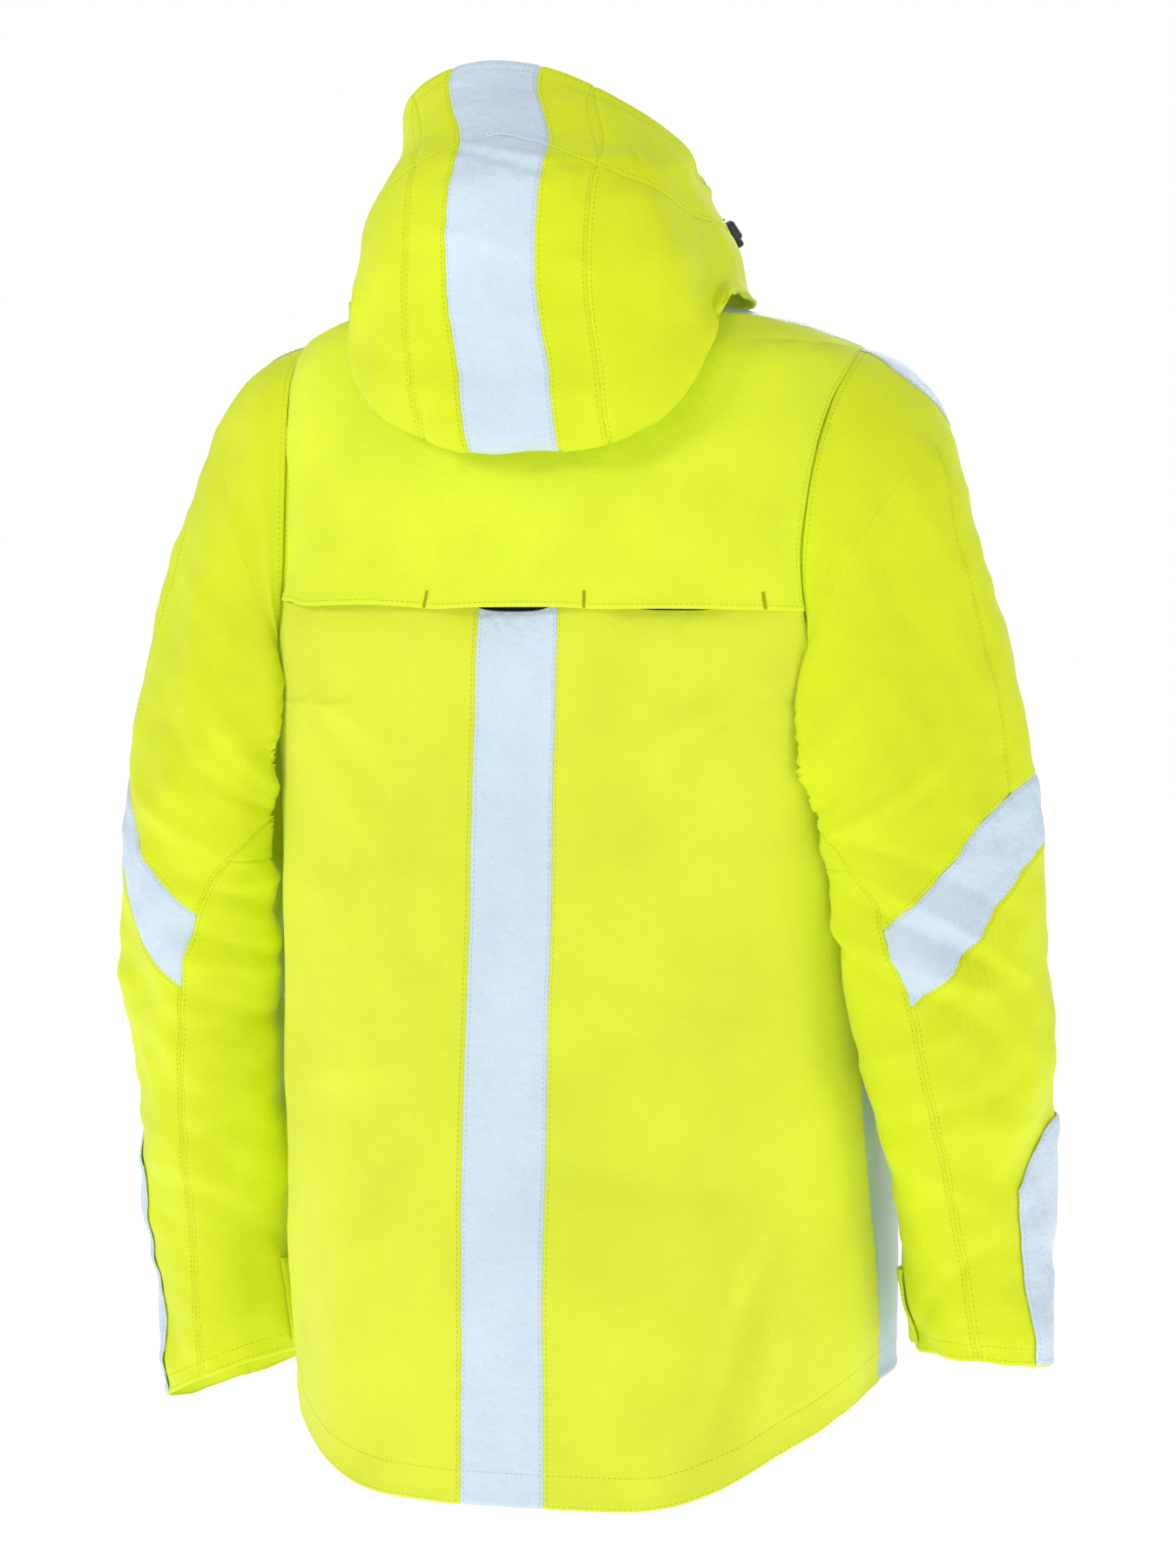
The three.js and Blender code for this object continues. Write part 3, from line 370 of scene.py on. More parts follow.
def folds_hood(u, w, P):
    x, z = P[..., 0], P[..., 2]
    d = 1.6 * hood_soft(P) + 0.6 * hood_fine(P) + 0.10 * fine(P)
    d = d * step(w, 0.01, 0.12) * (1 - 0.6 * step(w, 0.88, 1.0))
    # soft dent down the wearer's right side, and slanting creases across the top
    d = d + (-3.4 * ridge(u, -0.60, 0.075) + 2.6 * ridge(u, -0.44, 0.07)) * window(w, 0.36, 0.66, 0.07)
    d = d + (2.2 * ridge(u, 0.55, 0.08) - 2.4 * ridge(u, 0.70, 0.07)) * window(w, 0.36, 0.68, 0.07)
    for w0, k, a, wd, x0, x1 in ((0.735, 0.0011, -2.2, 0.012, -30, 45), (0.765, 0.0009, 1.7, 0.012, -28, 50), (0.70, -0.0008, -1.8, 0.012, -80, -5),
                                 (0.31, 0.0, 1.5, 0.02, -110, 110), (0.275, 0.0004, -1.5, 0.012, -100, 20), (0.55, 0.0006, 1.3, 0.018, -60, 60)):
        d = d + a * ridge(w, w0 + k * x, wd) * window(x, x0, x1, 14)
    for uc, wc, a, s in ((-0.36, 0.40, 2.0, 0.020), (0.40, 0.41, 1.8, 0.020), (-0.39, 0.805, 1.6, 0.016), (-0.43, 0.80, -1.4, 0.016), (-0.47, 0.805, 1.3, 0.014)):
        d = d + a * ridge(u, uc, s) * ridge(w, wc, 0.035)
    return d


# ------------------------------------------------------------------ materials
def lin(c):
    return tuple(((x / 255) / 12.92 if x / 255 <= 0.04045 else ((x / 255 + 0.055) / 1.055) ** 2.4) for x in c)


class Nodes:
    def __init__(self, name):
        self.m = bpy.data.materials.new(name)
        self.m.use_nodes = True
        self.t = self.m.node_tree
        self.t.nodes.clear()
        self.out = self.t.nodes.new("ShaderNodeOutputMaterial")
        self.b = self.t.nodes.new("ShaderNodeBsdfPrincipled")
        self.t.links.new(self.b.outputs[0], self.out.inputs[0])

    def put(self, sock, v):
        if hasattr(v, "is_output"):
            self.t.links.new(v, sock)
        else:
            sock.default_value = v

    def math(self, op, a, b=None, c=None):
        n = self.t.nodes.new("ShaderNodeMath")
        n.operation = op
        for i, v in enumerate((a, b, c)):
            if v is not None:
                self.put(n.inputs[i], v)
        return n.outputs[0]

    def noise(self, vec, scale, detail=3.0, rough=0.5):
        n = self.t.nodes.new("ShaderNodeTexNoise")
        self.put(n.inputs["Vector"], vec)
        n.inputs["Scale"].default_value = scale
        n.inputs["Detail"].default_value = detail
        n.inputs["Roughness"].default_value = rough
        return n.outputs["Fac"]

    def ramp(self, fac, a, b, c0, c1):
        n = self.t.nodes.new("ShaderNodeMapRange")
        self.put(n.inputs[0], fac)
        for i, v in enumerate((a, b, c0, c1)):
            n.inputs[i + 1].default_value = v
        return n.outputs[0]

    def mix(self, fac, a, b):
        n = self.t.nodes.new("ShaderNodeMix")
        n.data_type = "RGBA"
        self.put(n.inputs[0], fac)
        for s, v in ((n.inputs[6], a), (n.inputs[7], b)):
            self.put(s, v if hasattr(v, "is_output") else (*v, 1.0))
        return n.outputs[2]

    def bump(self, height, strength, distance, normal=None):
        n = self.t.nodes.new("ShaderNodeBump")
        n.inputs["Strength"].default_value = strength
        n.inputs["Distance"].default_value = distance
        self.put(n.inputs["Height"], height)
        if normal is not None:
            self.put(n.inputs["Normal"], normal)
        return n.outputs[0]

    def coords(self):
        return self.t.nodes.new("ShaderNodeTexCoord").outputs["Object"]

    def uv(self):
        n = self.t.nodes.new("ShaderNodeUVMap")
        n.uv_map = "cloth"
        s = self.t.nodes.new("ShaderNodeSeparateXYZ")
        self.t.links.new(n.outputs[0], s.inputs[0])
        return s.outputs[0], s.outputs[1]


def cloth(name, rgb, rough=0.55, weave=0.9, depth=0.00006, sheen=0.10, shade=0.90, crinkle=0.00034, uv=True, rip=0.0, spec=0.28, glow=0.0):
    """woven cloth: threads along the cut's own two directions, a little colour drift, and crinkles"""
    N = Nodes(name)
    base = lin(rgb)
    obj = N.coords()
    drift = N.noise(obj, 9.0, 4.0, 0.55)
    mott = N.noise(obj, 420.0, 2.0, 0.6)
    dark = tuple(c * shade for c in base)
    col = N.mix(N.ramp(drift, 0.35, 0.65, 0.0, 1.0), dark, base)
    col = N.mix(N.ramp(mott, 0.3, 0.7, 0.0, 0.10), col, tuple(min(1, c * 1.06) for c in base))
    height = N.math("MULTIPLY", N.noise(obj, 130.0, 3.0, 0.55), 1.0)
    if uv:
        u, v = N.uv()
        k = 2 * math.pi * 1000 / weave
        a = N.math("SINE", N.math("MULTIPLY", u, k))
        b = N.math("SINE", N.math("MULTIPLY", v, k))
        w = N.math("MULTIPLY", a, b)
        col = N.mix(N.ramp(w, -1.0, 1.0, 0.0, 0.16), col, tuple(c * 0.82 for c in base))
        weave_h = w
        if rip > 0:
            kr = 2 * math.pi * 1000 / 5.4
            ra = N.math("POWER", N.math("ABSOLUTE", N.math("SINE", N.math("MULTIPLY", u, kr / 2))), 40.0)
            rb = N.math("POWER", N.math("ABSOLUTE", N.math("SINE", N.math("MULTIPLY", v, kr / 2))), 40.0)
            grid = N.math("MAXIMUM", ra, rb)
            col = N.mix(N.math("MULTIPLY", grid, rip), col, tuple(c * 0.86 for c in base))
            weave_h = N.math("ADD", w, grid)
    else:
        weave_h = N.noise(obj, 1000 / weave, 1.0, 0.5)
    n1 = N.bump(height, 0.55, crinkle * 4)
    n2 = N.bump(weave_h, 0.6, depth, n1)
    N.put(N.b.inputs["Base Color"], col)
    N.put(N.b.inputs["Roughness"], N.ramp(mott, 0.2, 0.8, rough - 0.06, rough + 0.08))
    N.put(N.b.inputs["Normal"], n2)
    N.b.inputs["Sheen Weight"].default_value = sheen
    N.b.inputs["Sheen Roughness"].default_value = 0.5
    N.b.inputs["Specular IOR Level"].default_value = spec
    if glow:
        N.put(N.b.inputs["Emission Color"], col)
        N.b.inputs["Emission Strength"].default_value = glow
    return N.m


def hard(name, rgb, rough, metal=0.0, grain=500.0, depth=0.00004):
    N = Nodes(name)
    base = lin(rgb)
    obj = N.coords()
    n = N.noise(obj, grain, 3.0, 0.6)
    N.put(N.b.inputs["Base Color"], N.mix(N.ramp(n, 0.3, 0.7, 0.0, 1.0), tuple(c * 0.82 for c in base), base))
    N.put(N.b.inputs["Roughness"], N.ramp(n, 0.3, 0.7, rough - 0.08, rough + 0.10))
    N.b.inputs["Metallic"].default_value = metal
    N.put(N.b.inputs["Normal"], N.bump(n, 0.4, depth))
    return N.m


YELLOW = cloth("bright_yellow_cloth", (223, 239, 22), rough=0.60, rip=0.10, glow=0.06)
# a darker copy of the same yellow cloth: painted shade, used on the hood and on inner faces
YELLOW_PAINTED_SHADE = cloth("yellow_cloth_painted_shade", (222, 238, 20), rough=0.60, rip=0.10, glow=0.06)
# a lighter, paler copy of the same yellow cloth: painted highlight over the yoke
YELLOW_PAINTED_SHEEN_YOKE = cloth("yellow_cloth_painted_sheen_yoke", (229, 246, 44), rough=0.60, rip=0.10, glow=0.06)
# a paler copy of the same yellow cloth: painted highlight over the lower back
YELLOW_PAINTED_SHEEN_BACK = cloth("yellow_cloth_painted_sheen_back", (226, 238, 54), rough=0.60, rip=0.10, glow=0.06)
# its colour drift is partly random tone and partly painted crease shade for the silvery streaks of the crinkles
LIGHT = cloth("light_blue_cloth", (216, 234, 250), rough=0.38, weave=0.7, sheen=0.08, shade=0.89, crinkle=0.0009, spec=0.5)
MESH = cloth("vent_mesh_cloth", (34, 44, 66), rough=0.85, weave=2.2, depth=0.0004, shade=0.6)
LINING = cloth("lining_cloth", (92, 100, 112), rough=0.6, weave=0.8, shade=0.85)
BAG = cloth("pocket_cloth", (70, 76, 88), rough=0.9, weave=1.3, shade=0.8)
THREAD_Y = cloth("yellow_thread", (196, 207, 30), rough=0.7, uv=False, weave=0.3, shade=0.8)
THREAD_L = cloth("pale_thread", (188, 206, 226), rough=0.7, uv=False, weave=0.3, shade=0.8)
TAPE = cloth("zip_tape_cloth", (50, 56, 66), rough=0.8, uv=False, weave=0.8, shade=0.8)
TEETH = hard("zip_teeth", (60, 66, 76), 0.4)
METAL = hard("satin_metal", (190, 194, 200), 0.32, 1.0)
PULL = hard("moulded_puller", (42, 48, 58), 0.5)
LOCK = hard("cord_lock_plastic", (30, 36, 52), 0.42)
CORD = cloth("braided_cord", (36, 42, 60), rough=0.8, uv=False, weave=1.2, depth=0.0003, shade=0.6)
WEB = cloth("loop_webbing", (34, 38, 46), rough=0.85, weave=1.6, depth=0.0003, shade=0.75)

# ------------------------------------------------------------------ how pieces follow the bodies
MM = 0.001


def bind_body(o):
    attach(o, "body")


def bind_hood(o):
    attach(o, "hood")


def bind_hood_cloth(o):
    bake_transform(o)


NAME = {1: "left", -1: "right"}


def bind_upper():
    return lambda o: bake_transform(o)


def bind_elbow():
    return lambda o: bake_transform(o)


def bind_fore(s):
    return lambda o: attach(o, f"forearm_{NAME[s]}")


# ------------------------------------------------------------------ mesh making
ALL = []


def new_object(name, verts, faces, mats, smooth=True, uvs=None, mat_index=None):
    me = bpy.data.meshes.new(name)
    me.from_pydata([tuple(v) for v in verts], [], [tuple(int(i) for i in f) for f in faces])
    me.update()
    if smooth:
        me.polygons.foreach_set("use_smooth", [True] * len(me.polygons))
    for m in mats:
        me.materials.append(m)
    if mat_index is not None:
        me.polygons.foreach_set("material_index", mat_index)
    if uvs is not None:
        layer = me.uv_layers.new(name="cloth")
        idx = np.empty(len(me.loops), np.int32)
        me.loops.foreach_get("vertex_index", idx)
        layer.data.foreach_set("uv", np.asarray(uvs, np.float32)[idx].ravel())
    o = bpy.data.objects.new(name, me)
    bpy.context.scene.collection.objects.link(o)
    ALL.append(o)
    return o


def stations(length, pitch=6.0, edge=(0.7, 1.6, 2.8, 4.6, 7.2)):
    e = [x for x in edge if x < length * 0.3]
    a = e[-1] if e else 0
    n = max(1, int(round((length - 2 * a) / pitch)))
    mid = np.linspace(a, length - a, n + 1)
    s = np.concatenate([[0], e[:-1], mid, [length - x for x in e[:-1]][::-1], [length]]) if e else mid
    return np.unique(np.round(s / length, 9))


def normals(P, out):
    du = np.gradient(P, axis=1)
    dw = np.gradient(P, axis=0)
    N = np.cross(du, dw) * out
    return N / np.maximum(1e-9, np.linalg.norm(N, axis=-1))[..., None]


class Panel:
    pass


def arc(P, axis):
    d = np.linalg.norm(np.diff(P, axis=axis), axis=-1)
    z = np.zeros_like(np.take(d, [0], axis=axis))
    return np.concatenate([z, np.cumsum(d, axis=axis)], axis=axis)


def panel(name, node, f, mat, bind, out=-1, thick=1.4, lift=0.0, folds=None, seams="uUwW", pitch=6.0, welt="", sub=None, dip=1.15, pucker=0.45, closed=False, slot=None, inner=None, declare=True, more=(), fade=None):
    """f(u, w) on a fine grid. seams: which edges (u=0 'u', u=1 'U', w=0 'w', w=1 'W') are sewn; welt: on which the cloth is folded double"""
    g = np.linspace(0, 1, 25)
    C = f(g[None, :], g[:, None])
    Lu = arc(C, 1)[:, -1].mean()
    Lw = arc(C, 0)[-1].mean()
    us, ws = stations(Lu, pitch), stations(Lw, pitch)
    if len(more):
        us = np.unique(np.concatenate([us, more]))
    U, V = np.meshgrid(us, ws)
    P = f(U, V)
    N = normals(P, out)
    lengths_u, lengths_w = arc(P, 1), arc(P, 0)
    dist = {"u": lengths_u, "U": lengths_u[:, -1:] - lengths_u, "w": lengths_w, "W": lengths_w[-1:] - lengths_w}
    edges = {"u": P[:, :1], "U": P[:, -1:], "w": P[:1], "W": P[-1:]}
    D = (lift(U, V, P) if callable(lift) else lift) + np.zeros_like(U)
    if folds is not None:
        D = D + folds(U, V, P)
    live = 1.0 if fade is None else fade(P)  # where a seam lies flat it hardly shows
    for e in seams:
        d = dist[e]
        D = D - live * dip * np.exp(-((d / 1.5) ** 2))
        E = edges[e]  # both sides of a seam pucker together: the wave follows the seam's longest axis
        ax = int(np.argmax(np.ptp(E.reshape(-1, 3), axis=0)))
        s = E[..., ax]
        D = D + live * pucker * np.sin(2 * np.pi * s / 17 + 1.7 * np.sin(s / 41.0)) * np.exp(-d / 8.0) * (0.55 + 0.45 * np.sin(s / 67.0 + 1.0))
    for e in welt:
        d = dist[e]
        D = D + 0.75 * (1 - step(d, 4.8, 7.0)) * step(d, 0.2, 1.4)
    Q = P + N * D[..., None]
    N2 = normals(Q, out)
    I = Q - N2 * thick
    nw, nu = len(ws), len(us)
    verts = world(np.concatenate([Q.reshape(-1, 3), I.reshape(-1, 3)]))
    idx = np.arange(nw * nu).reshape(nw, nu)
    a, b, c, d = idx[:-1, :-1].ravel(), idx[:-1, 1:].ravel(), idx[1:, 1:].ravel(), idx[1:, :-1].ravel()
    o = nw * nu
    if out > 0:
        top, bot = np.stack([a, b, c, d], 1), np.stack([d + o, c + o, b + o, a + o], 1)
    else:
        top, bot = np.stack([d, c, b, a], 1), np.stack([a + o, b + o, c + o, d + o], 1)
    rim = []

    def side(line):
        i, j = line[:-1], line[1:]
        rim.append(np.stack([i, i + o, j + o, j], 1) if out > 0 else np.stack([j, j + o, i + o, i], 1))

    side(idx[0])
    side(idx[:, -1])
    side(idx[-1][::-1])
    side(idx[:, 0][::-1])
    faces = np.concatenate([top, bot, *rim])
    mi = np.zeros(len(faces), np.int32)
    mats = [mat]
    if inner is not None:
        mats.append(inner)
        mi[len(top):len(top) + len(bot)] = 1
    uv = np.stack([lengths_u - lengths_u[:, :1], lengths_w - lengths_w[:1]], -1).reshape(-1, 2) * MM
    ob = new_object(name, verts, faces, mats, uvs=np.concatenate([uv, uv]), mat_index=mi)
    p = Panel()
    p.obj, p.Q, p.N, p.us, p.ws, p.bind, p.name = ob, Q, N2, us, ws, bind, name
    p.lu, p.lw = arc(Q, 1), arc(Q, 0)
    if node:
        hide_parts(node)
    bind(ob)
    tri = lambda A, B, Cc: np.linalg.norm(np.cross(B - A, Cc - A), axis=-1) / 2
    area = (tri(Q[:-1, :-1], Q[:-1, 1:], Q[1:, 1:]) + tri(Q[:-1, :-1], Q[1:, 1:], Q[1:, :-1])).sum() * 1e-6
    w_, l_ = float(p.lu[:, -1].max()) * MM, float(p.lw[-1].max()) * MM
    p.area, p.flat = float(area), (w_, l_)
    return p


def line_on(p, edge, d, a=0.0, b=1.0):
    """points and normals on a panel's face, d mm in from an edge"""
    out, nrm = [], []
    if edge in "uU":
        for j in range(len(p.ws)):
            L = p.lu[j]
            s = d if edge == "u" else L[-1] - d
            out.append([np.interp(s, L, p.Q[j, :, k]) for k in range(3)])
            nrm.append([np.interp(s, L, p.N[j, :, k]) for k in range(3)])
    else:
        for i in range(len(p.us)):
            L = p.lw[:, i]
            s = d if edge == "w" else L[-1] - d
            out.append([np.interp(s, L, p.Q[:, i, k]) for k in range(3)])
            nrm.append([np.interp(s, L, p.N[:, i, k]) for k in range(3)])
    P, N = np.array(out), np.array(nrm)
    n = len(P)
    i0, i1 = int(a * (n - 1)), int(round(b * (n - 1))) + 1
    return P[i0:i1], N[i0:i1]


def stitch_rows(name, rows, mat, bind, length=2.7, pitch=3.9, w=0.62, h=0.34):
    V, F = [], []
    for P, N in rows:
        L = np.concatenate([[0], np.cumsum(np.linalg.norm(np.diff(P, axis=0), axis=1))])
        if L[-1] < 3 * pitch:
            continue
        s = np.arange(pitch, L[-1] - pitch, pitch)
        g = lambda A, x: np.stack([np.interp(x, L, A[:, k]) for k in range(3)], -1)
        A, B, Nn = g(P, s - length / 2), g(P, s + length / 2), g(N, s)
        C = g(P, s)
        T = B - A
        T /= np.linalg.norm(T, axis=1)[:, None]
        Nn /= np.linalg.norm(Nn, axis=1)[:, None]
        S = np.cross(Nn, T)
        base = len(V)
        quad = []
        for ctr, k in ((A, 0.25), (C, 1.0), (B, 0.25)):
            for sx, hz in ((-1, 0.0), (0, 1.0), (1, 0.0), (0, -0.9)):
                quad.append(ctr + S * (sx * w / 2 * max(k, 0.4)) + Nn * (h * (hz * k) - (0.05 if k < 1 else 0)))
        quad = np.stack(quad, 1)
        m = len(s)
        start = sum(len(v) for v in V)
        V.append(quad.reshape(-1, 3))
        o = start + np.arange(m)[:, None] * 12
        for r in (0, 4):
            for i in range(4):
                j = (i + 1) % 4
                F.append(np.concatenate([o + r + i, o + r + 4 + i, o + r + 4 + j, o + r + j], 1))
        F.append(np.concatenate([o, o + 1, o + 2, o + 3], 1))
        F.append(np.concatenate([o + 11, o + 10, o + 9, o + 8], 1))
    if not V:
        return None
    ob = new_object(name, world(np.concatenate(V)), np.concatenate(F), [mat])
    bind(ob)
    return ob


def topstitch(p, spec, mat):
    rows = [line_on(p, *s) for s in spec]
    return stitch_rows(f"stitch_{p.name}", rows, mat, p.bind)


# ------------------------------------------------------------------ the body of the jacket
def strip_deg(v, mm=STRIP_HALF):
    return np.arcsin(mm / table(TORSO, v)[..., 2]) / RAD


def gapv(v):
    return SEAM / (RAD * np.maximum(88, table(TORSO, v)[..., 1]))


def zip_edge(v):
    return 180 - np.arctan2(9, front_depth(v)) / RAD


def on_body(s, deg, v):
    p = torso_both(deg, v)
    p[..., 0] *= s
    return settle(p)


fold_t = lambda U, V, P: folds_torso(P)


def v_top(x):  # top edge of the lower back, under the yoke
    return 0.715 - 0.0276 * slot_open(x)


for s in (1, -1):
    def lower_back(u, w, s=s):
        d0 = lerp(strip_deg(0.70), back_edge(0.70), u)
        x = s * torso(d0, 0.70 + 0 * u)[..., 0]
        v = v_top(x) * w
        return on_body(s, lerp(strip_deg(v) + gapv(v), back_edge(v) - gapv(v), u), v)

    p = panel(f"lower_back_{NAME[s]}", f"back_panel_{NAME[s]}", lower_back, YELLOW_PAINTED_SHEEN_BACK, bind_body, out=-s, folds=fold_t, seams="uU", welt="w", inner=YELLOW_PAINTED_SHEEN_BACK, slot="bright_cloth", pitch=5.5)
    topstitch(p, [("u", 3.0), ("w", 24.0), ("w", 2.6), ("U", 4.0)], THREAD_Y)


def strip_back(u, w):
    a0 = strip_deg(0.70)
    x = torso(lerp(-a0, a0, u), 0.70 + 0 * u)[..., 0]
    v = v_top(x) * w
    a = strip_deg(v) - gapv(v)
    return torso(lerp(-a, a, u), v)


p = panel("light_strip_back", "back_strip", strip_back, LIGHT, bind_body, folds=lambda U, V, P: folds_torso(P) + 1.3 * ridge(P[..., 0], -16 + 5 * np.sin(P[..., 2] / 90.0), 3.2) * window(P[..., 2], 60, 600, 50) - 0.9 * ridge(P[..., 0], -22 + 4 * np.sin(P[..., 2] / 70.0), 2.6) * window(P[..., 2], 60, 600, 50), seams="uU", welt="w", pitch=4.2, slot="light_cloth")
topstitch(p, [("u", 3.0), ("U", 3.0), ("w", 24.0)], THREAD_L)


def yoke_lift(U, V, P):
    x, k = P[..., 0], 1 - step(lerp(FLAP_V, 0.985, V), FLAP_V, 0.752)
    edge = 1 - step(np.abs(x), 168, 186) * (1 - 0.30 * k)  # down to the armhole seams
    return 0.5 + edge * (2.3 + k * (1.1 + 6.6 * flap_wave(x)))


def yoke(u, w):
    x = torso(lerp(-back_edge(0.70), back_edge(0.70), u), 0.70 + 0 * u)[..., 0]
    v0 = FLAP_V + 0.0022 * slot_open(x) - 0.0016 * np.sin(x / 21.0) * (1 - slot_open(x))
    v = lerp(v0, 0.985, w)
    a = back_edge(v) - gapv(v)
    return torso(lerp(-a, a, u), v)


YOKE = panel("yoke", "back_yoke", yoke, YELLOW_PAINTED_SHEEN_YOKE, bind_body, lift=yoke_lift, folds=lambda U, V, P: 0.75 * folds_torso(P) + 0.5 * crumple(P), seams="uU", welt="w", pitch=5.5, slot="bright_cloth", fade=lambda P: 1 - 0.85 * step(P[..., 2], 760, 784))
topstitch(YOKE, [("w", 3.6), ("u", 4.0), ("U", 4.0)], THREAD_Y)

# the four bar tacks that hold the free edge down
rows = []
for x0 in TACKS:
    i = int(np.argmin(np.abs(YOKE.Q[0, :, 0] - x0)))
    L = YOKE.lw[:, i]
    g = lambda A, s_: np.array([np.interp(s_, L, A[:, i, k]) for k in range(3)])
    for s_ in np.arange(1.0, 13.2, 0.62):
        c, n = g(YOKE.Q, s_), g(YOKE.N, s_)
        n /= np.linalg.norm(n)
        t = np.cross(np.array([0, 0, 1.0]), n)
        t /= np.linalg.norm(t)
        rows.append((c, n, t))
V, F = [], []
for c, n, t in rows:
    z = np.array([0, 0, 1.0])
    b = len(V)
    for k, hw, hh in ((-1.5, 0.22, 0.1), (-1.0, 0.33, 0.6), (0, 0.35, 0.75), (1.0, 0.33, 0.6), (1.5, 0.22, 0.1)):
        V += [c + t * k - z * hw, c + t * k + n * hh, c + t * k + z * hw, c + t * k - n * 0.4]
    for r in range(4):
        for i in range(4):
            j = (i + 1) % 4
            F.append((b + r * 4 + i, b + r * 4 + 4 + i, b + r * 4 + 4 + j, b + r * 4 + j))
    F += [(b, b + 1, b + 2, b + 3), (b + 19, b + 18, b + 17, b + 16)]
o = new_object("yoke_bar_tacks", world(np.array(V)), F, [THREAD_Y])
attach(o, "body")

panel("vent_mesh_panel", "vent_mesh", lambda u, w: torso(lerp(-60, 60, u), lerp(0.662, 0.80, w)), MESH, bind_body, lift=-2.6, thick=0.8, folds=lambda U, V, P: np.minimum(0.0, 0.0 * P[..., 0]) + folds_torso(P), seams="", pitch=8, slot="mesh_cloth")

# front
GORE = [[0, 137], [0.30, 132], [0.50, 110], [0.58, 93], [ARM_V0, 80.5]]
FRONT_ROWS = [0, 0.05, 0.11, 0.17, 0.23, 0.29, 0.35, 0.40, 0.45, 0.50, 0.54, 0.57, 0.597, 0.64, 0.70, 0.76, 0.82, 0.857, 0.881, 0.915, 0.95, 0.985]
BAND_V = 0.875


def gore_front(v):
    return table(GORE, v)[..., 0]


def band_front(v):
    return lerp(102.8, 130, (v - BAND_V) / (1 - BAND_V))


GORE_BLUE = cloth("side_gore_cloth", (186, 211, 232), rough=0.45, weave=0.7, sheen=0.1, shade=0.92, crinkle=0.00016, spec=0.5)
for s in (1, -1):
    def gore(u, w, s=s):
        v = pick(FRONT_ROWS[:13], w)
        return on_body(s, lerp(side_seam(v) + gapv(v), gore_front(v) - gapv(v), u), v)

    def front(u, w, s=s):
        v = pick(FRONT_ROWS, w)
        a = np.where(v < ARM_V0, gore_front(v), np.where(v < BAND_V, front_edge(v), band_front(v)))
        return on_body(s, lerp(a + gapv(v), zip_edge(v), u), v)

    def shoulder(u, w, s=s):
        v = pick(FRONT_ROWS[18:], w)
        a = np.where(v < ARM_V1, front_edge(v), shoulder_seam(v))
        return on_body(s, lerp(a + gapv(v), band_front(v) - gapv(v), u), v)

    fr = lambda U, V, P: folds_torso(P) * (1 - 0.9 * np.exp(-((np.abs(P[..., 0]) / 30) ** 2)) * step(-P[..., 1], 0, 40))
    p = panel(f"side_gore_{NAME[s]}", f"front_gore_{NAME[s]}", gore, GORE_BLUE, bind_body, out=-s, lift=lambda U, V, P: -0.9 * (1 - step(P[..., 1], -8, 30)), folds=lambda U, V, P: folds_torso(P) * (0.06 + 0.94 * step(P[..., 1], -8, 40)), seams="uU", welt="w", slot="light_cloth")
    topstitch(p, [("u", 3.0), ("U", 3.0), ("w", 22.0)], THREAD_L)
    p = panel(f"front_{NAME[s]}", f"front_panel_{NAME[s]}", front, YELLOW, bind_body, out=-s, folds=fr, seams="u", welt="wU", slot="bright_cloth")
    topstitch(p, [("u", 3.5), ("U", 3.0), ("U", 10.0), ("w", 22.0)], THREAD_Y)
    p = panel(f"shoulder_light_{NAME[s]}", f"shoulder_band_{NAME[s]}", shoulder, LIGHT, bind_body, out=-s, folds=fold_t, seams="uUwW", slot="light_cloth")
    topstitch(p, [("u", 3.0), ("U", 3.0)], THREAD_L)

# inside
panel("lining_drop", "lining", lambda u, w: torso(lerp(-166, 166, u), lerp(0.065, 0.600, w)), LINING, bind_body, lift=-9.6, thick=1.0, folds=lambda U, V, P: 0.5 * folds_torso(P), seams="", pitch=9, slot="lining_cloth")
panel("hem_facing_band", "hem_facing", lambda u, w: torso(lerp(-166, 166, u), lerp(0.006, 0.050, w)), LINING, bind_body, lift=-6.6, thick=0.9, folds=lambda U, V, P: folds_torso(P) * (0.06 + 0.94 * step(P[..., 1], -8, 40)), seams="", pitch=8, slot="lining_cloth")


def collar(u, w):
    d = lerp(-174, 174, u)
    p0 = torso(d, 1.0 + 0 * d)
    k, f = lerp(0.90, 0.86, w), 0.5 - 0.5 * np.cos(d * RAD)
    y = lerp(p0[..., 1] * k, p0[..., 1] + 5, f**3) + 6 * w * f
    return np.stack([p0[..., 0] * k, y, p0[..., 2] + 62 * w], -1)


p = panel("stand_collar", "collar", collar, YELLOW, bind_body, thick=2.2, folds=lambda U, V, P: 0.35 * hood_fine(P), seams="", welt="W", pitch=5, inner=YELLOW_PAINTED_SHADE, slot="bright_cloth")
topstitch(p, [("W", 4.0), ("u", 4.0), ("U", 4.0)], THREAD_Y)

# ------------------------------------------------------------------ front zip, guard, teeth
ZL = math.hypot((FRONT_Y1 - FRONT_Y0) / 800, 1)
ZD = np.array([0, (FRONT_Y1 - FRONT_Y0) / 800 / ZL, 1 / ZL])
ZN = np.array([0, ZD[2], -ZD[1]])  # inward


def on_zip(z, depth=0.0, x=0.0):
    z = np.asarray(z, float)
    p = np.stack([0 * z + x, lerp(FRONT_Y0, FRONT_Y1, z / 800), z], -1)
    return p + ZN * np.asarray(depth, float)[..., None]


def guard(u, w):
    u, w = np.broadcast_arrays(u, w)
    p = on_zip(lerp(92, 800, w), 8.2)
    p[..., 0] = lerp(-26, 26, u)
    return p


panel("storm_guard_flap", "storm_guard", guard, YELLOW, bind_body, out=1, thick=1.2, folds=lambda U, V, P: 0.25 * np.sin(P[..., 2] / 37.0), seams="", welt="", pitch=5, inner=LINING, slot="bright_cloth")


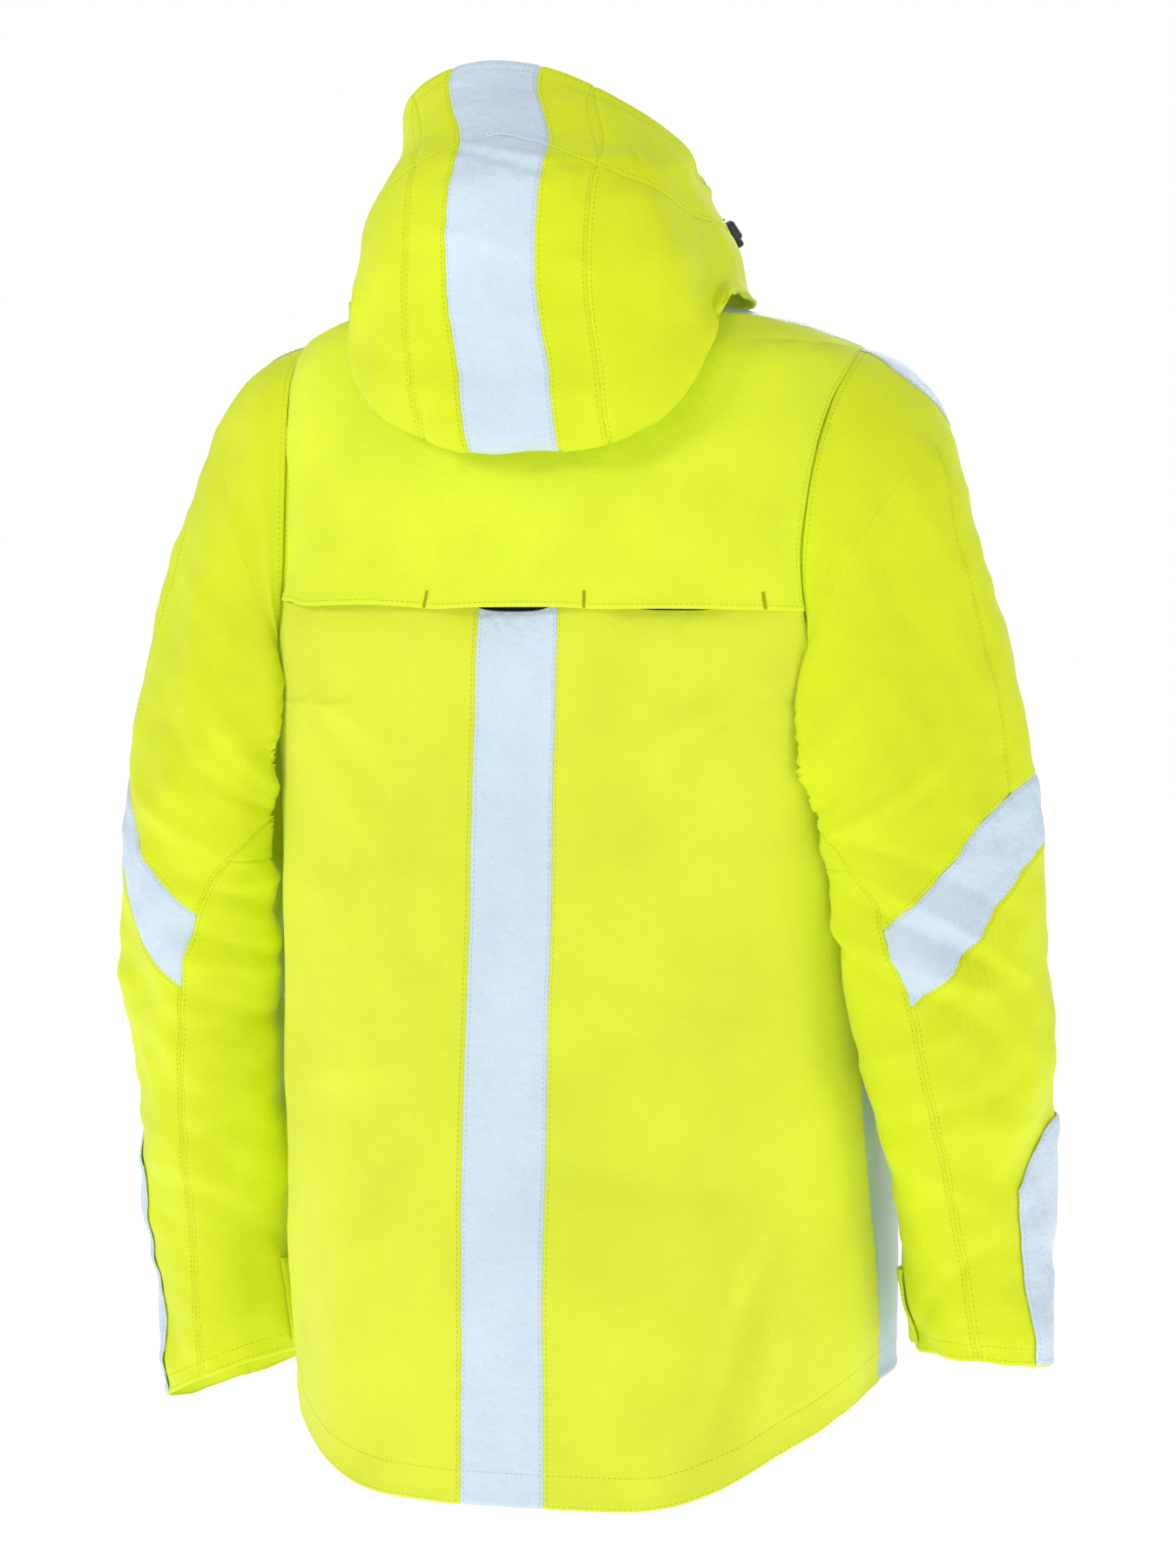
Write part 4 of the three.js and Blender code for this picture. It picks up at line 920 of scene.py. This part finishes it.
def teeth_piece(name, frame_of, z0, z1, side, bind, pitch=2.6):
    V, F = [], []
    for z in np.arange(z0 + (pitch / 2 if side > 0 else 0), z1, pitch):
        b = len(V)
        for dz, h, x0, x1 in ((-0.85, 0.02, 0.95, 3.3), (-0.5, 0.36, 0.85, 3.5), (0.5, 0.36, 0.85, 3.5), (0.85, 0.02, 0.95, 3.3)):
            V += [frame_of(side * x0, 3.4 - h, z + dz), frame_of(side * x1, 3.4 - h, z + dz), frame_of(side * x1, 3.5, z + dz), frame_of(side * x0, 3.5, z + dz)]
        q = []
        for r in range(3):
            for i in range(4):
                j = (i + 1) % 4
                q.append((b + r * 4 + i, b + r * 4 + j, b + r * 4 + 4 + j, b + r * 4 + 4 + i))
        q += [(b + 3, b + 2, b + 1, b), (b + 12, b + 13, b + 14, b + 15)]
        F += q if side > 0 else [f[::-1] for f in q]
    o = new_object(name, world(np.array(V)), F, [TEETH])
    bind(o)
    return o


def zip_at(x, depth, z):
    return on_zip(float(z), depth, 0.0) + np.array([x, 0, 0])


for s in (1, -1):
    teeth_piece(f"zip_teeth_{NAME[s]}", zip_at, 90, 860, s, bind_body)

# pocket frames, as in the CAD
for s in (1, -1):
    a, b = on_body(s, 113.0, 0.20), on_body(s, 113.0, 0.375)
    zz = (b - a) / np.linalg.norm(b - a)
    tt = on_body(s, 114.0, 0.29) - on_body(s, 112.0, 0.29)
    nn = np.cross(tt, zz) * s
    nn /= np.linalg.norm(nn)
    if nn @ np.array([s, -1, 0]) < 0:
        nn = -nn
    yy = -nn
    xx = np.cross(yy, zz)
    xx /= np.linalg.norm(xx)
    mid = on_body(s, 113.0, 0.29)
    org = a + nn * (max(0, (mid - a) @ nn) + 3.4 + 1.4 + 0.6)
    plen = np.linalg.norm(b - a)
    fr_at = lambda x, y, z, org=org, xx=xx, yy=yy, zz=zz: org + xx * x + yy * y + zz * z
    for k in (1, -1):
        teeth_piece(f"pocket_teeth_{NAME[s]}_{NAME[k]}", fr_at, 2, plen - 2, k, bind_body)
    p = panel(f"pocket_pouch_{NAME[s]}", f"pocket_bag_{NAME[s]}", lambda u, w, s=s: on_body(s, lerp(110, 152, u), lerp(0.10, 0.40, w)), BAG, bind_body, out=-s, lift=-4.2, thick=3.6, folds=lambda U, V, P: np.minimum(0.0, 0.35 * folds_torso(P) - 0.4), seams="", pitch=7, slot="pocket_cloth")

# ------------------------------------------------------------------ hang loop
def loop_piece():
    ctrl = np.array([[-26, 73, 846], [-18, 72.5, 841], [-8, 72, 838.3], [0, 72, 838], [8, 72, 838.3], [18, 72.5, 841], [26, 73, 846]], float)
    s = np.linspace(0, 6, 61)
    C = np.stack([np.interp(s, range(7), ctrl[:, k]) for k in range(3)], -1)
    for _ in range(6):
        C[1:-1] = (C[:-2] + 2 * C[1:-1] + C[2:]) / 4
    T = np.gradient(C, axis=0)
    T /= np.linalg.norm(T, axis=1)[:, None]
    Yv = np.tile(np.array([0, 1.0, 0]), (61, 1))
    Zv = np.cross(T, Yv)
    Zv /= np.linalg.norm(Zv, axis=1)[:, None]
    prof = [(-0.75, -3.4), (-0.9, -2.9), (-0.8, -1.5), (-0.9, 0), (-0.8, 1.5), (-0.9, 2.9), (-0.75, 3.4), (0, 3.8), (0.75, 3.4), (0.9, 2.9), (0.8, 1.5), (0.9, 0), (0.8, -1.5), (0.9, -2.9), (0.75, -3.4), (0, -3.8)]
    V = np.concatenate([C + Yv * a + Zv * b for a, b in prof]).reshape(16, 61, 3)
    F = []
    for i in range(16):
        j = (i + 1) % 16
        for k in range(60):
            F.append((i * 61 + k, i * 61 + k + 1, j * 61 + k + 1, j * 61 + k))
    F.append([i * 61 for i in range(16)])
    F.append([i * 61 + 60 for i in range(15, -1, -1)])
    L = arc(C[:, None], 0)[:, 0]
    uv = np.stack([np.tile(L, 16), np.repeat(np.arange(16) * 1.0, 61)], -1) * MM
    o = new_object("loop_webbing_strip", world(V.reshape(-1, 3)), F, [WEB], uvs=uv)
    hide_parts("hang_loop")
    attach(o, "body")


loop_piece()

# ------------------------------------------------------------------ hood
HOOD_STRIP, HOOD_SEAM = 33, 68
BRIM = [[0, 0.833], [0.13, 0.803], [0.22, 0.768], [0.38, 0.715], [0.54, 0.665], [0.64, 0.610], [0.80, 0.54], [1.00, 0.47]]


def brim_w(u):
    return table(BRIM, np.abs(u))[..., 0]


def u_of(mm, w):
    R = table(HOOD, w)
    return np.arcsin(np.minimum(1, (mm / R[..., 2]) ** (R[..., 5] / 2))) / RAD / R[..., 6]


fold_h = lambda fu: (lambda U, V, P: folds_hood(fu(U, V)[0], fu(U, V)[1], P))


def hood_panel(a, b, upper):
    def coords(u, w):
        q = 0 * u
        for _ in range(8):
            k = lerp(brim_w(q), 1, w) if upper else brim_w(q) * w
            q = lerp(a(k), b(k), u)
        return q, k

    return (lambda u, w: hood(*coords(*np.broadcast_arrays(u, w)))), coords


f, c = hood_panel(lambda k: -u_of(HOOD_STRIP - SEAM, k), lambda k: u_of(HOOD_STRIP - SEAM, k), False)
p = panel("hood_light_strip", "hood_strip", f, LIGHT, bind_hood_cloth, folds=fold_h(c), seams="uUW", pitch=4.2, slot="light_cloth", inner=LINING)
topstitch(p, [("u", 3.0), ("U", 3.0), ("W", 2.8)], THREAD_L)
f, c = hood_panel(lambda k: -u_of(HOOD_STRIP - SEAM, k), lambda k: u_of(HOOD_STRIP - SEAM, k), True)
p = panel("brim_light_strip", "brim_strip", f, LIGHT, bind_hood_cloth, folds=fold_h(c), seams="uUw", welt="W", pitch=4.5, slot="light_cloth", inner=LINING)
topstitch(p, [("u", 3.0), ("U", 3.0), ("w", 2.8), ("W", 4.0), ("W", 9.0)], THREAD_L)
for s in (1, -1):
    f, c = hood_panel(lambda k: s * u_of(HOOD_STRIP + SEAM, k), lambda k: s * u_of(HOOD_SEAM - SEAM, k), False)
    p = panel(f"hood_crown_{NAME[s]}", f"hood_centre_{NAME[s]}", f, YELLOW_PAINTED_SHADE, bind_hood_cloth, out=-s, folds=fold_h(c), seams="uUW", pitch=4.5, slot="bright_cloth", inner=LINING)
    topstitch(p, [("U", 3.2), ("u", 3.2)], THREAD_Y)
    f, c = hood_panel(lambda k: s * u_of(HOOD_SEAM + SEAM, k), lambda k: s + 0 * k, False)
    p = panel(f"hood_cheek_{NAME[s]}", f"hood_side_{NAME[s]}", f, YELLOW_PAINTED_SHADE, bind_hood_cloth, out=-s, folds=fold_h(c), seams="uW", welt="U", pitch=5, slot="bright_cloth", inner=YELLOW_PAINTED_SHADE)
    topstitch(p, [("u", 3.2), ("U", 14.0), ("U", 4.0)], THREAD_Y)

    def brim_c(u, w, s=s):
        u, w = np.broadcast_arrays(u, w)
        q = 0 * u
        for _ in range(8):
            k = lerp(brim_w(q), 1, w)
            a, b = u_of(HOOD_STRIP + SEAM, k), u_of(HOOD_SEAM, k)
            q = np.where(u < 2 / 9, lerp(a, b, u * 4.5), lerp(b, 1, (u - 2 / 9) * 9 / 7))
        return s * q, k

    def peak_folds(U, V, P, s=s):  # with the side seam running on through the brim
        q, k = brim_c(U, V)
        b = u_of(HOOD_SEAM, k)
        return folds_hood(q, k, P) - 1.0 * np.exp(-(((np.abs(q) - b) * HOOD_SEAM / b / 1.4) ** 2))

    p = panel(f"hood_peak_{NAME[s]}", f"hood_brim_{NAME[s]}", lambda u, w: hood(*brim_c(u, w)), YELLOW_PAINTED_SHADE, bind_hood_cloth, out=-s, folds=peak_folds, seams="uw", welt="WU", pitch=4.5, slot="bright_cloth", inner=LINING, more=[2 / 9 + d for d in (-0.012, -0.007, -0.003, 0, 0.003, 0.007, 0.012)])
    topstitch(p, [("w", 3.0), ("u", 3.2), ("u", 38.5), ("W", 4.0), ("W", 14.0)], THREAD_Y)

# ------------------------------------------------------------------ sleeves
BACK_SEAM = [[0, 178], [0.20, 166], [0.38, 148], [0.50, 120], [0.56, 109], [0.64, 99], [0.74, 95], [0.88, 88], [1.00, 81]]
OUTER_SEAM, FRONT_SEAM = 12, -72
BAND_TOP = [[-72, 0.335], [-15, 0.365], [36, 0.42], [58, 0.468], [80, 0.510], [109, 0.560]]
BAND_LOW = [[-72, 0.435], [-15, 0.462], [36, 0.540], [67, 0.602], [98.6, 0.650]]
HEAD_T, UNDER_CUT, QG, TG = 0.085, 0.481, -0.12, -0.0003
PATCH_T = [[-72, 0.78], [-15, 0.785], [34, 0.845]]


def back_seam(t):
    return table(BACK_SEAM, t)[..., 0]


def band_top(q):
    return table(BAND_TOP, q)[..., 0]


def band_low(q):
    return table(BAND_LOW, q)[..., 0]


for s in (1, -1):
    nm = NAME[s]

    def surf(coords, s=s):
        return (lambda u, w: sleeve(s, *coords(*np.broadcast_arrays(np.asarray(u, float), np.asarray(w, float))))), (lambda U, V, P: folds_sleeve(s, *coords(U, V), P))

    def head(u, w):
        t = lerp(0.0002, HEAD_T - TG, w)
        return lerp(FRONT_SEAM + QG, back_seam(t) - QG, u), t

    def upper_c(q0, q1):
        def c(u, w):
            q = lerp(q0, 100, u)
            for _ in range(8):
                t = lerp(HEAD_T + TG, band_top(q) - TG, w)
                q = lerp(q0 + QG, q1(t) - QG, u)
            return q, t
        return c

    def under_c(t0, t1):
        def c(u, w):
            t = lerp(t0, t1, w)
            return lerp(back_seam(t) + QG, 360 + FRONT_SEAM - QG, u), t
        return c

    def outer_c(rows):
        def c(u, w):
            q = lerp(FRONT_SEAM, 100, u)
            for _ in range(8):
                t = rows(q, w)
                q = lerp(FRONT_SEAM + QG, back_seam(t) - QG, u)
            return q, t
        return c

    def make(name, node, coords, mat, bind, **kw):
        f, fo = surf(coords)
        return panel(f"{name}_{nm}", f"{node}_{nm}", f, mat, bind, out=-s, folds=kw.pop("folds", fo), slot=kw.pop("slot", "bright_cloth"), **kw)

    def allowance(u, w, s=s):  # the armhole's seam allowance, tucked under the yoke and the side
        u, w = np.broadcast_arrays(np.asarray(u, float), np.asarray(w, float))
        q = lerp(-178, 178, u)
        c, sn, e = np.cos(q * RAD), np.sin(q * RAD), 2 / 2.3
        v = lerp(ARM_V0, ARM_V1, 0.5 + 0.5 * np.sign(c) * np.abs(c) ** e)
        edge = arm_mid(v) - np.where(sn > 0, ARM_HALF, -ARM_FRONT) * np.abs(sn) ** e
        a, b, k = on_body(s, edge - 3.5 * np.clip(4 * sn, -1, 1), v), on_body(s, edge, v), sleeve(s, q, 0.024)
        h = w[..., None]
        return np.where(h < 0.5, lerp(a, b, 2 * h), lerp(b, k, 2 * h - 1))

    panel(f"armhole_allowance_{nm}", None, allowance, YELLOW, bind_body, out=-s, lift=-3.7, thick=0.8, seams="", pitch=6, slot="bright_cloth", declare=False)
    def tip(u, w):  # the shoulder strip runs out onto the sleeve head
        t = lerp(0.0005, 0.071, w)
        return lerp(-44, np.interp(t, [0, 0.03, 0.05, 0.06, 0.071], [13, 16, 8, 0, -18]), u), t

    f, fo = surf(tip)
    p = panel(f"shoulder_light_tip_{nm}", None, f, LIGHT, bind_body, out=-s, folds=fo, lift=0.9, thick=0.8, seams="", pitch=3, slot="light_cloth", declare=False)
    topstitch(p, [("U", 2.4)], THREAD_L)
    p = make("sleeve_cap", "sleeve_head", head, YELLOW, bind_body, seams="uUw", pitch=5, fade=lambda P: 1 - 0.85 * step(P[..., 2], 760, 784))
    topstitch(p, [("w", 4.0)], THREAD_Y)
    p = make("sleeve_upper", "upper_sleeve", upper_c(OUTER_SEAM, back_seam), YELLOW, bind_upper(), seams="uUW", pitch=5)
    topstitch(p, [("U", 3.2), ("W", 3.2), ("u", 3.2)], THREAD_Y)
    p = make("sleeve_front", "front_sleeve", upper_c(FRONT_SEAM, lambda t: OUTER_SEAM + 0 * t), YELLOW, bind_upper(), seams="uUW", pitch=6)
    topstitch(p, [("W", 3.2)], THREAD_Y)
    p = make("sleeve_under_upper", "under_sleeve_upper", under_c(0.0002, UNDER_CUT - TG), YELLOW, bind_upper(), seams="uUwW", thick=1.2, pitch=6)
    p = make("sleeve_under_lower", "under_sleeve_lower", under_c(UNDER_CUT + TG, 1.0), YELLOW, bind_elbow(), seams="uUw", welt="W", thick=1.2, pitch=5.5)
    topstitch(p, [("u", 3.2), ("W", 14.0), ("W", 4.0)], THREAD_Y)
    p = make("elbow_light", "elbow_band", outer_c(lambda q, w: lerp(band_top(q) + TG, band_low(q) - TG, w)), LIGHT, bind_elbow(), seams="uUwW", pitch=4.5, pucker=0.7, slot="light_cloth")
    topstitch(p, [("w", 3.0), ("W", 3.0)], THREAD_L)
    p = make("sleeve_lower", "lower_sleeve", outer_c(lambda q, w: lerp(band_low(q) + TG, 1.0, w)), YELLOW, bind_elbow(), seams="uUw", welt="W", pitch=5.5)
    topstitch(p, [("U", 3.2), ("w", 3.2), ("W", 14.0), ("W", 4.0)], THREAD_Y)

    def patch(u, w):
        q = lerp(FRONT_SEAM + 2, 34, u)
        return q, lerp(table(PATCH_T, q)[..., 0], 0.998, w)

    f, fo = surf(patch)
    p = panel(f"forearm_light_{nm}", f"forearm_patch_{nm}", f, LIGHT, bind_fore(s), out=-s, folds=fo, lift=2.5, thick=1.0, seams="uUwW", pitch=5, dip=0.7, slot="light_cloth")
    topstitch(p, [("u", 3.0), ("U", 3.0), ("w", 3.0), ("W", 4.0)], THREAD_L)

    def tab(u, w):
        return lerp(158, 228, u), lerp(0.925, 0.992, w)

    f, fo = surf(tab)
    p = panel(f"cuff_strap_{nm}", f"cuff_tab_{nm}", f, YELLOW, (lambda o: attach(o, f"cuff_tab_{nm}")), out=-s, folds=fo, lift=3.6, thick=1.7, seams="uUwW", pitch=4, dip=0.5, pucker=0.2, slot="bright_cloth")
    topstitch(p, [("u", 3.0), ("U", 3.0), ("w", 3.0), ("W", 3.0)], THREAD_Y)

# ------------------------------------------------------------------ materials on the CAD nodes that stay
KEEP = {"zip_tape": TAPE, "pocket_zip": TAPE, "zip_box": METAL, "zip_slider": METAL, "pocket_slider": METAL, "zip_puller": PULL, "pocket_puller": PULL,
        "hood_lock_button": PULL, "hood_lock": LOCK, "hood_drawcord": CORD}
for node, o in frame["nodes"].items():
    ob = o if hasattr(o, "data") else bpy.data.objects.get(node)
    for k in sorted(KEEP, key=len, reverse=True):
        if node.startswith(k) and ob is not None and ob.type == "MESH":
            if not ob.data.materials:
                ob.data.materials.append(KEEP[k])
            for i in range(len(ob.material_slots)):
                ob.material_slots[i].material = KEEP[k]
            break

# ------------------------------------------------------------------ floor and light
R = 14.0
ring_n = 96
V = [(0, 0, 0)] + [(R * math.cos(2 * math.pi * i / ring_n), R * math.sin(2 * math.pi * i / ring_n), 0) for i in range(ring_n)]
F = [(0, 1 + i, 1 + (i + 1) % ring_n) for i in range(ring_n)]
me = bpy.data.meshes.new("floor")
me.from_pydata([(x, y, z - 1.35) for x, y, z in V], [], F)
floor = bpy.data.objects.new("floor", me)
bpy.context.scene.collection.objects.link(floor)
N = Nodes("floor_pale")
N.b.inputs["Base Color"].default_value = (0.80, 0.80, 0.80, 1)
N.b.inputs["Roughness"].default_value = 0.9
N.b.inputs["Emission Color"].default_value = (1, 1, 1, 1)
N.b.inputs["Emission Strength"].default_value = 0.75
me.materials.append(N.m)
floor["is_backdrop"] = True

w = bpy.data.worlds.new("studio")
bpy.context.scene.world = w
w.use_nodes = True
bg = w.node_tree.nodes.get("Background") or w.node_tree.nodes.new("ShaderNodeBackground")
bg.inputs[0].default_value = (1.0, 1.0, 1.0, 1)
lp = w.node_tree.nodes.new("ShaderNodeLightPath")
mr = w.node_tree.nodes.new("ShaderNodeMapRange")
w.node_tree.links.new(lp.outputs["Is Camera Ray"], mr.inputs[0])
mr.inputs[3].default_value, mr.inputs[4].default_value = 0.475, 1.0
w.node_tree.links.new(mr.outputs[0], bg.inputs[1])
bpy.context.scene.view_settings.view_transform = "Standard"
bpy.context.scene.view_settings.look = "None"


def area(name, loc, target, size, power, size_y=None):
    d = bpy.data.lights.new(name, "AREA")
    d.energy, d.size = power, size
    if size_y:
        d.shape, d.size_y = "RECTANGLE", size_y
    o = bpy.data.objects.new(name, d)
    bpy.context.scene.collection.objects.link(o)
    o.location = loc
    o.rotation_euler = (Vector(target) - Vector(loc)).to_track_quat("-Z", "Y").to_euler()


T = (0, 0, -0.35)
area("key", (2.3, 2.4, 1.6), T, 0.9, 35)
area("side", (-3.0, 0.9, 0.9), T, 1.0, 15, 2.0)
area("front_fill", (0.4, -3.2, 0.8), T, 2.0, 30)
area("top", (-0.3, 1.3, 2.6), (0, -0.02, 0.12), 1.4, 9)

SIZE_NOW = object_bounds()
{"cad": [list(map(float, b)) for b in SIZE_CAD], "visual": [list(map(float, b)) for b in SIZE_NOW]}
